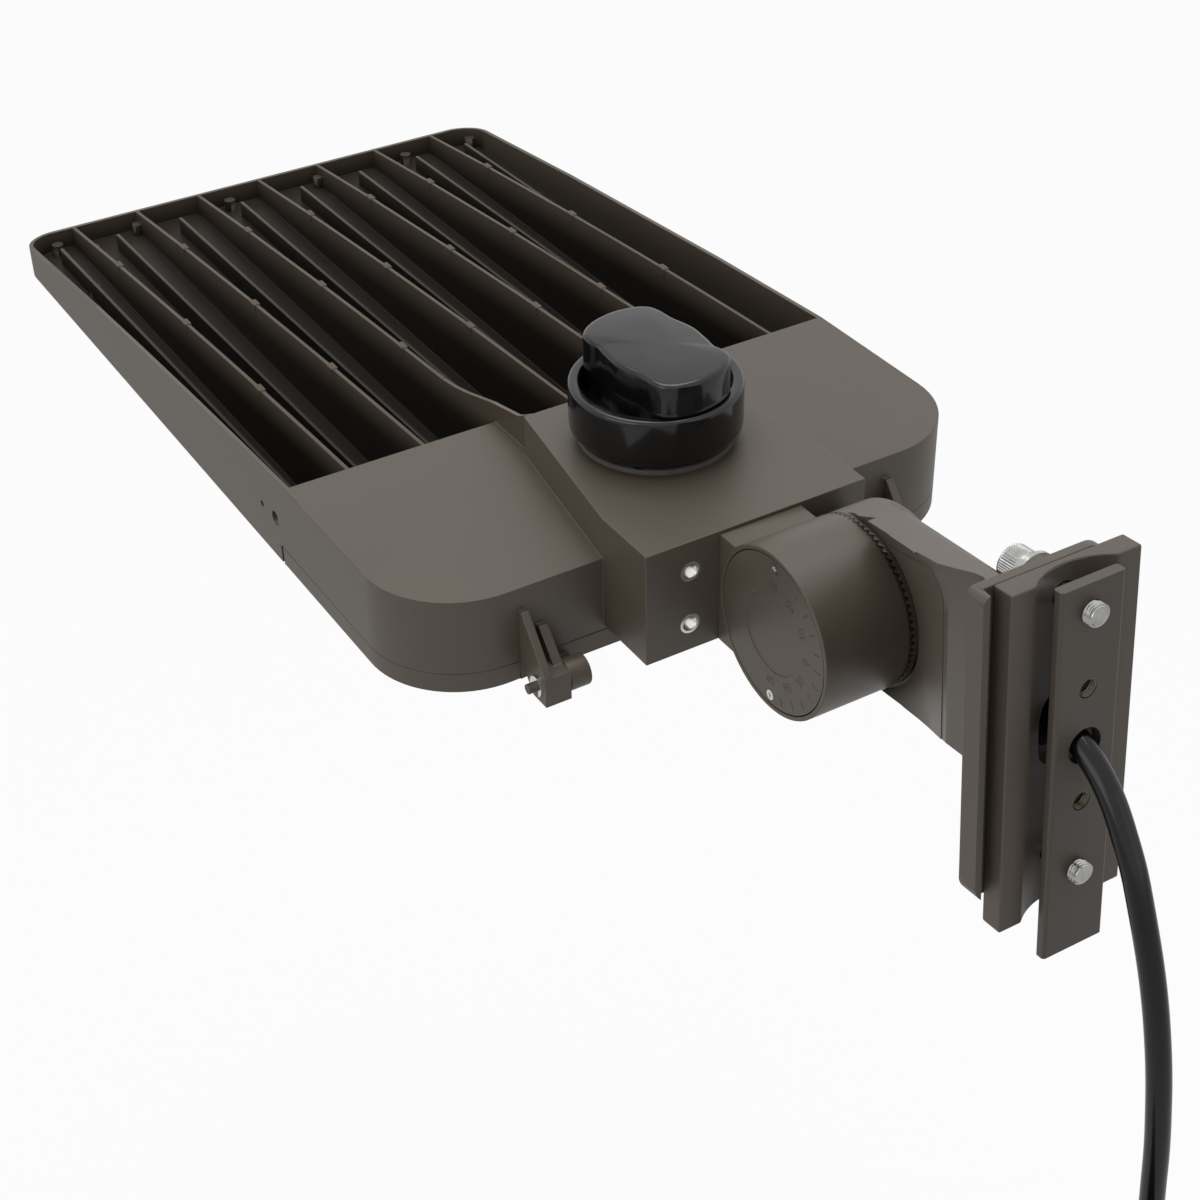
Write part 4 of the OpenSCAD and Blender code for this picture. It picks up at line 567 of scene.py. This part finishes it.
def helix(builder, centre, x0, x1, crest, root, pitch):
    """Adds a helical thread along X between two places, all in millimetres."""
    count = int((x1 - x0) / (pitch / 2))
    grid = []
    for j in range(count + 1):
        reach = crest if j % 2 else root
        row = []
        for k in range(THREAD_SIDES):
            x = min(x1, max(x0, x0 + pitch * (j / 2 + k / THREAD_SIDES - 1)))
            a = math.tau * k / THREAD_SIDES
            row.append(builder.verts.new(around_x(centre, x, reach, a)))
        grid.append(row)
    for j in range(count):
        for k in range(THREAD_SIDES):
            if k + 1 < THREAD_SIDES:
                corner = (grid[j][k], grid[j][k + 1], grid[j + 1][k + 1], grid[j + 1][k])
            elif j + 3 <= count:
                corner = (grid[j][k], grid[j + 2][0], grid[j + 3][0], grid[j + 1][k])
            else:
                continue
            builder.faces.new(corner)


def turned(builder, centre, section, sides=48, ripple=None):
    """Adds a body turned round an X axis from (place, radius) pairs; ripple alters the radius."""
    rows = [[builder.verts.new(around_x(centre, x, reach * (ripple(x, k) if ripple else 1),
                                        math.tau * k / sides)) for k in range(sides)]
            for x, reach in section]
    skin(builder, rows)
    return rows


print("helpers for turned parts are ready")

# %% Two clamp bolts
CLAMP_HEIGHTS = (-60, 60)
BOLT_SEAT = 27.0
BOLT_TIP = -13.0
BOLT_THREAD = {"x0": -12.5, "x1": 2.0, "crest": 5.0, "root": 4.1, "pitch": 1.5}
HEAD_SIDES = 96
KNURL = (1.2, 8.9)  # above the seat
KNURL_SHARE = 0.955
BOLT_CREASE = 24
# millimetres along the bolt, and radius: the head from its seat, the shank, and the tip
HEAD_SECTION = [(0, 5.0), (0, 7.5), (0.5, 8.0), (1.1, 8.0), (1.3, 8.0), (8.8, 8.0), (9.0, 7.9),
                (9.6, 7.7), (10, 7.1), (10, 5.0), (9.6, 4.6), (5, 4.5)]
SHANK_SECTION = [(BOLT_SEAT, 5.0), (2.0, 5.0), (1.6, 4.4), (-11.2, 4.15)]
TIP_SECTION = [(2.0, 4.1), (0.5, 4.25), (0.1, 4.0), (0, 3.6), (0.1, 3.0), (0.35, 1.2)]


def knurl(x, k):
    """Fine straight knurl on the middle of a socket head."""
    return KNURL_SHARE if BOLT_SEAT + KNURL[0] < x < BOLT_SEAT + KNURL[1] and k % 2 else 1


bolt_builder = bmesh.new()
for height in CLAMP_HEIGHTS:
    centre = (0, 0, height)
    head = turned(bolt_builder, centre, [(BOLT_SEAT + rise, reach) for rise, reach in HEAD_SECTION],
                  sides=HEAD_SIDES, ripple=knurl)
    bolt_builder.faces.new(head[-1])
    turned(bolt_builder, centre, SHANK_SECTION)
    helix(bolt_builder, centre, **BOLT_THREAD)
    tip = turned(bolt_builder, centre, [(BOLT_TIP + rise, reach) for rise, reach in TIP_SECTION])
    bolt_builder.faces.new(tip[-1])
bmesh.ops.recalc_face_normals(bolt_builder, faces=bolt_builder.faces)
bolt_mesh = finished_mesh(bolt_builder, "socket_bolts", BOLT_CREASE)
socket_bolts = add_piece("socket_bolts", bolt_mesh, "arm", zinc_steel)
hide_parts("clamp_bolts")
print("bolt faces:", len(bolt_mesh.polygons))

# %% Split washers
SPLIT_START = 97
SPLIT_SWEEP = 346
SPLIT_STEPS = 60
SPLIT_LIFT = 0.35
WASHER_SECTION = ((24.55, 5.4), (24.55, 8.8), (24.8, 9.0), (26.3, 9.0), (26.6, 8.8), (26.6, 5.4))
washer_builder = bmesh.new()
for height in CLAMP_HEIGHTS:
    rows = []
    for k in range(SPLIT_STEPS + 1):
        a = math.radians(SPLIT_START + SPLIT_SWEEP * k / SPLIT_STEPS)
        lift = SPLIT_LIFT * k / SPLIT_STEPS
        rows.append([washer_builder.verts.new(around_x((0, 0, height), x + lift, reach, a))
                     for x, reach in WASHER_SECTION])
    skin(washer_builder, rows)
    washer_builder.faces.new(rows[0])
    washer_builder.faces.new(rows[-1][::-1])
bmesh.ops.recalc_face_normals(washer_builder, faces=washer_builder.faces)
washer_mesh = finished_mesh(washer_builder, "split_washers")
split_washers = add_piece("split_washers", washer_mesh, "arm", zinc_steel)
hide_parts("lock_washers")
print("washer faces:", len(washer_mesh.polygons))

# %% Threads in the tapped holes and the inserts
TAPPED_THREAD = {"x0": -8.7, "x1": -4.0, "crest": 4.27, "root": 3.75, "pitch": 1.25}
TAPPED_CENTRES = [(0, 0, height) for height in (-26.2, 26.2)]
INSERT_THREAD = {"x0": 42.5, "x1": 55.8, "crest": 3.98, "root": 3.4, "pitch": 1.25}
INSERT_CENTRES = [(0, side, height) for side in (-36.6, 36.6) for height in (27.8, 56.9)]


def inside_threads(name, centres, thread, place=None):
    """A mesh of threads that face their own axes, moved to its place if it has one."""
    builder = bmesh.new()
    for centre in centres:
        helix(builder, centre, **thread)
    for face in builder.faces:
        face.normal_flip()
    if place is not None:
        bmesh.ops.transform(builder, matrix=place, verts=builder.verts)
    return finished_mesh(builder, name)


tapped_mesh = inside_threads("tapped_threads", TAPPED_CENTRES, TAPPED_THREAD)
# the tapped threads wear the olive finish that is darkened as painted shade for the holes' depth
add_piece("tapped_threads", tapped_mesh, "plate", olive_thread_and_painted_shade)
insert_mesh = inside_threads("insert_threads", INSERT_CENTRES, INSERT_THREAD, to_head)
add_piece("insert_threads", insert_mesh, "head", bright_steel)
print("thread faces:", len(tapped_mesh.polygons), len(insert_mesh.polygons))

# %% [markdown]
# ## Numbers on the dial
# The dial is cast with its angle marks: 0 towards the pole, 90 straight up and straight down.
# The numbers are cut as text, turned into a mesh while they are still flat, and then set on the
# dial's face with their feet towards the middle. They lie flat on the face, and their dark colour
# is painted shade that stands for the depth of the cast engraving.

# %% Dial numbers
# painted shade: the flat figures are darker than the dial to stand for the shade in the engraving
engraving_painted_shade = finish("painted_shade_in_the_engraving", (0.04, 0.034, 0.028), 0.55, shift=0.1, patch=60,
                  grain=1800, grain_depth=0.2)
DIAL_FACE = 20.72
NUMBER_SIZE = 6.6
NUMBER_REACH = 25.5
NUMBER_STEP = 30
number_builder = bmesh.new()
for degrees in range(90, -91, -NUMBER_STEP):
    text = bpy.data.curves.new("dial_text", "FONT")
    text.body = str(abs(degrees))
    text.size = NUMBER_SIZE * MM
    text.align_x = "CENTER"
    text.align_y = "CENTER"
    text.resolution_u = 3
    holder = bpy.data.objects.new("dial_text", text)
    bpy.context.scene.collection.objects.link(holder)
    flat = bpy.data.meshes.new_from_object(holder)
    bpy.data.objects.remove(holder)
    # text lies in XY: its Y is turned outward and its X, at the top mark, away from the pole,
    # so the figures are mirrored as seen from the dial's side
    a = math.radians(degrees)
    outward = Vector((-math.cos(a), 0, math.sin(a)))
    feet = Vector((0, 1, 0)).cross(outward)
    basis = Matrix((feet, outward, Vector((0, 1, 0)))).transposed()
    middle = Vector((0, DIAL_FACE, PIVOT_HEIGHT)) * MM + outward * NUMBER_REACH * MM
    flat.transform(to_head @ (Matrix.Translation(middle) @ basis.to_4x4()))
    number_builder.from_mesh(flat)
    bpy.data.meshes.remove(flat)
number_mesh = finished_mesh(number_builder, "dial_numbers")
add_piece("dial_numbers", number_mesh, "pivot", engraving_painted_shade)
print("number faces:", len(number_mesh.polygons))

# %% [markdown]
# ## Floor, world and lamps
# The background of a product picture is white. A pale floor far below takes the shadow, and
# the world shows white to the camera and to reflections while it lights the object gently. In
# reflections the floor is dimmed, so that upright walls don't turn pale from below.

# %% Helpers for the surroundings
def math_node(tree, operation, first, second):
    """The value of a math node; each of its inputs is a socket or a number."""
    node = tree.nodes.new("ShaderNodeMath")
    node.operation = operation
    for socket, source in zip(node.inputs, (first, second)):
        if isinstance(source, bpy.types.NodeSocket):
            tree.links.new(source, socket)
        else:
            socket.default_value = source
    return node.outputs["Value"]


def seen_as_white(tree, in_gloss=1.0):
    """1 for camera and transmission rays, in_gloss for glossy rays, and 0 for the rest."""
    path = tree.nodes.new("ShaderNodeLightPath")
    gloss = math_node(tree, "MULTIPLY", path.outputs["Is Glossy Ray"], in_gloss)
    seen = math_node(tree, "MAXIMUM", path.outputs["Is Camera Ray"], gloss)
    return math_node(tree, "MAXIMUM", seen, path.outputs["Is Transmission Ray"])


print("helpers for the surroundings are ready")

# %% Floor and world
FLOOR_HEIGHT = -0.9
FLOOR_HALF_SIZE = 12
FLOOR_GREY = 0.8
FLOOR_ROUGHNESS = 0.9
FLOOR_GLOW = 0.94
FLOOR_IN_GLOSS = 0.35
SKY_ON_OBJECT = 0.42

builder = bmesh.new()
bmesh.ops.create_grid(builder, x_segments=1, y_segments=1, size=FLOOR_HALF_SIZE)
bmesh.ops.translate(builder, verts=builder.verts, vec=(0, 0, FLOOR_HEIGHT))
floor_mesh = finished_mesh(builder, "studio_floor")
floor = bpy.data.objects.new("studio_floor", floor_mesh)
bpy.context.scene.collection.objects.link(floor)

floor_look = bpy.data.materials.new("pale_floor")
floor_look.use_nodes = True
floor_tree = floor_look.node_tree
floor_shader = floor_tree.nodes["Principled BSDF"]
floor_shader.inputs["Base Color"].default_value = (FLOOR_GREY, FLOOR_GREY, FLOOR_GREY, 1)
floor_shader.inputs["Roughness"].default_value = FLOOR_ROUGHNESS
white = floor_tree.nodes.new("ShaderNodeEmission")
blend = floor_tree.nodes.new("ShaderNodeMixShader")
glow = math_node(floor_tree, "MULTIPLY", seen_as_white(floor_tree, FLOOR_IN_GLOSS), FLOOR_GLOW)
floor_tree.links.new(glow, blend.inputs["Fac"])
floor_tree.links.new(floor_shader.outputs["BSDF"], blend.inputs[1])
floor_tree.links.new(white.outputs["Emission"], blend.inputs[2])
floor_tree.links.new(blend.outputs["Shader"], floor_tree.nodes["Material Output"].inputs["Surface"])
floor_mesh.materials.append(floor_look)

world = bpy.data.worlds.new("studio")
bpy.context.scene.world = world
world.use_nodes = True
sky = world.node_tree.nodes["Background"]
level = world.node_tree.nodes.new("ShaderNodeMapRange")
level.inputs["To Min"].default_value = SKY_ON_OBJECT
level.inputs["To Max"].default_value = 1.0
world.node_tree.links.new(seen_as_white(world.node_tree), level.inputs["Value"])
world.node_tree.links.new(level.outputs["Result"], sky.inputs["Strength"])
sky.inputs["Color"].default_value = (1, 1, 1, 1)
print("floor at", FLOOR_HEIGHT)


# %% [markdown]
# Two soft boxes give the picture its shape: a wide one overhead, and one to the left that
# brightens the long side wall. A third, faint one stands behind.

# %% Lamps
def soft_box(name, place, aim, size, power):
    """A rectangular area lamp that looks at a point."""
    data = bpy.data.lights.new(name, "AREA")
    data.shape = "RECTANGLE"
    data.size, data.size_y = size
    data.energy = power
    lamp = bpy.data.objects.new(name, data)
    facing = (Vector(aim) - Vector(place)).to_track_quat("-Z", "Y")
    lamp.matrix_world = Matrix.Translation(place) @ facing.to_matrix().to_4x4()
    bpy.context.scene.collection.objects.link(lamp)


soft_box("overhead_box", place=(0.5, -0.1, 1.9), aim=(0.35, 0, 0), size=(1.6, 1.4), power=21.5)
soft_box("left_box", place=(-0.2, 1.9, 0.5), aim=(0.3, 0, 0), size=(1.4, 1.2), power=6.5)
soft_box("rear_box", place=(-1.8, -0.6, 0.5), aim=(0.1, 0, -0.05), size=(1.0, 1.2), power=1)
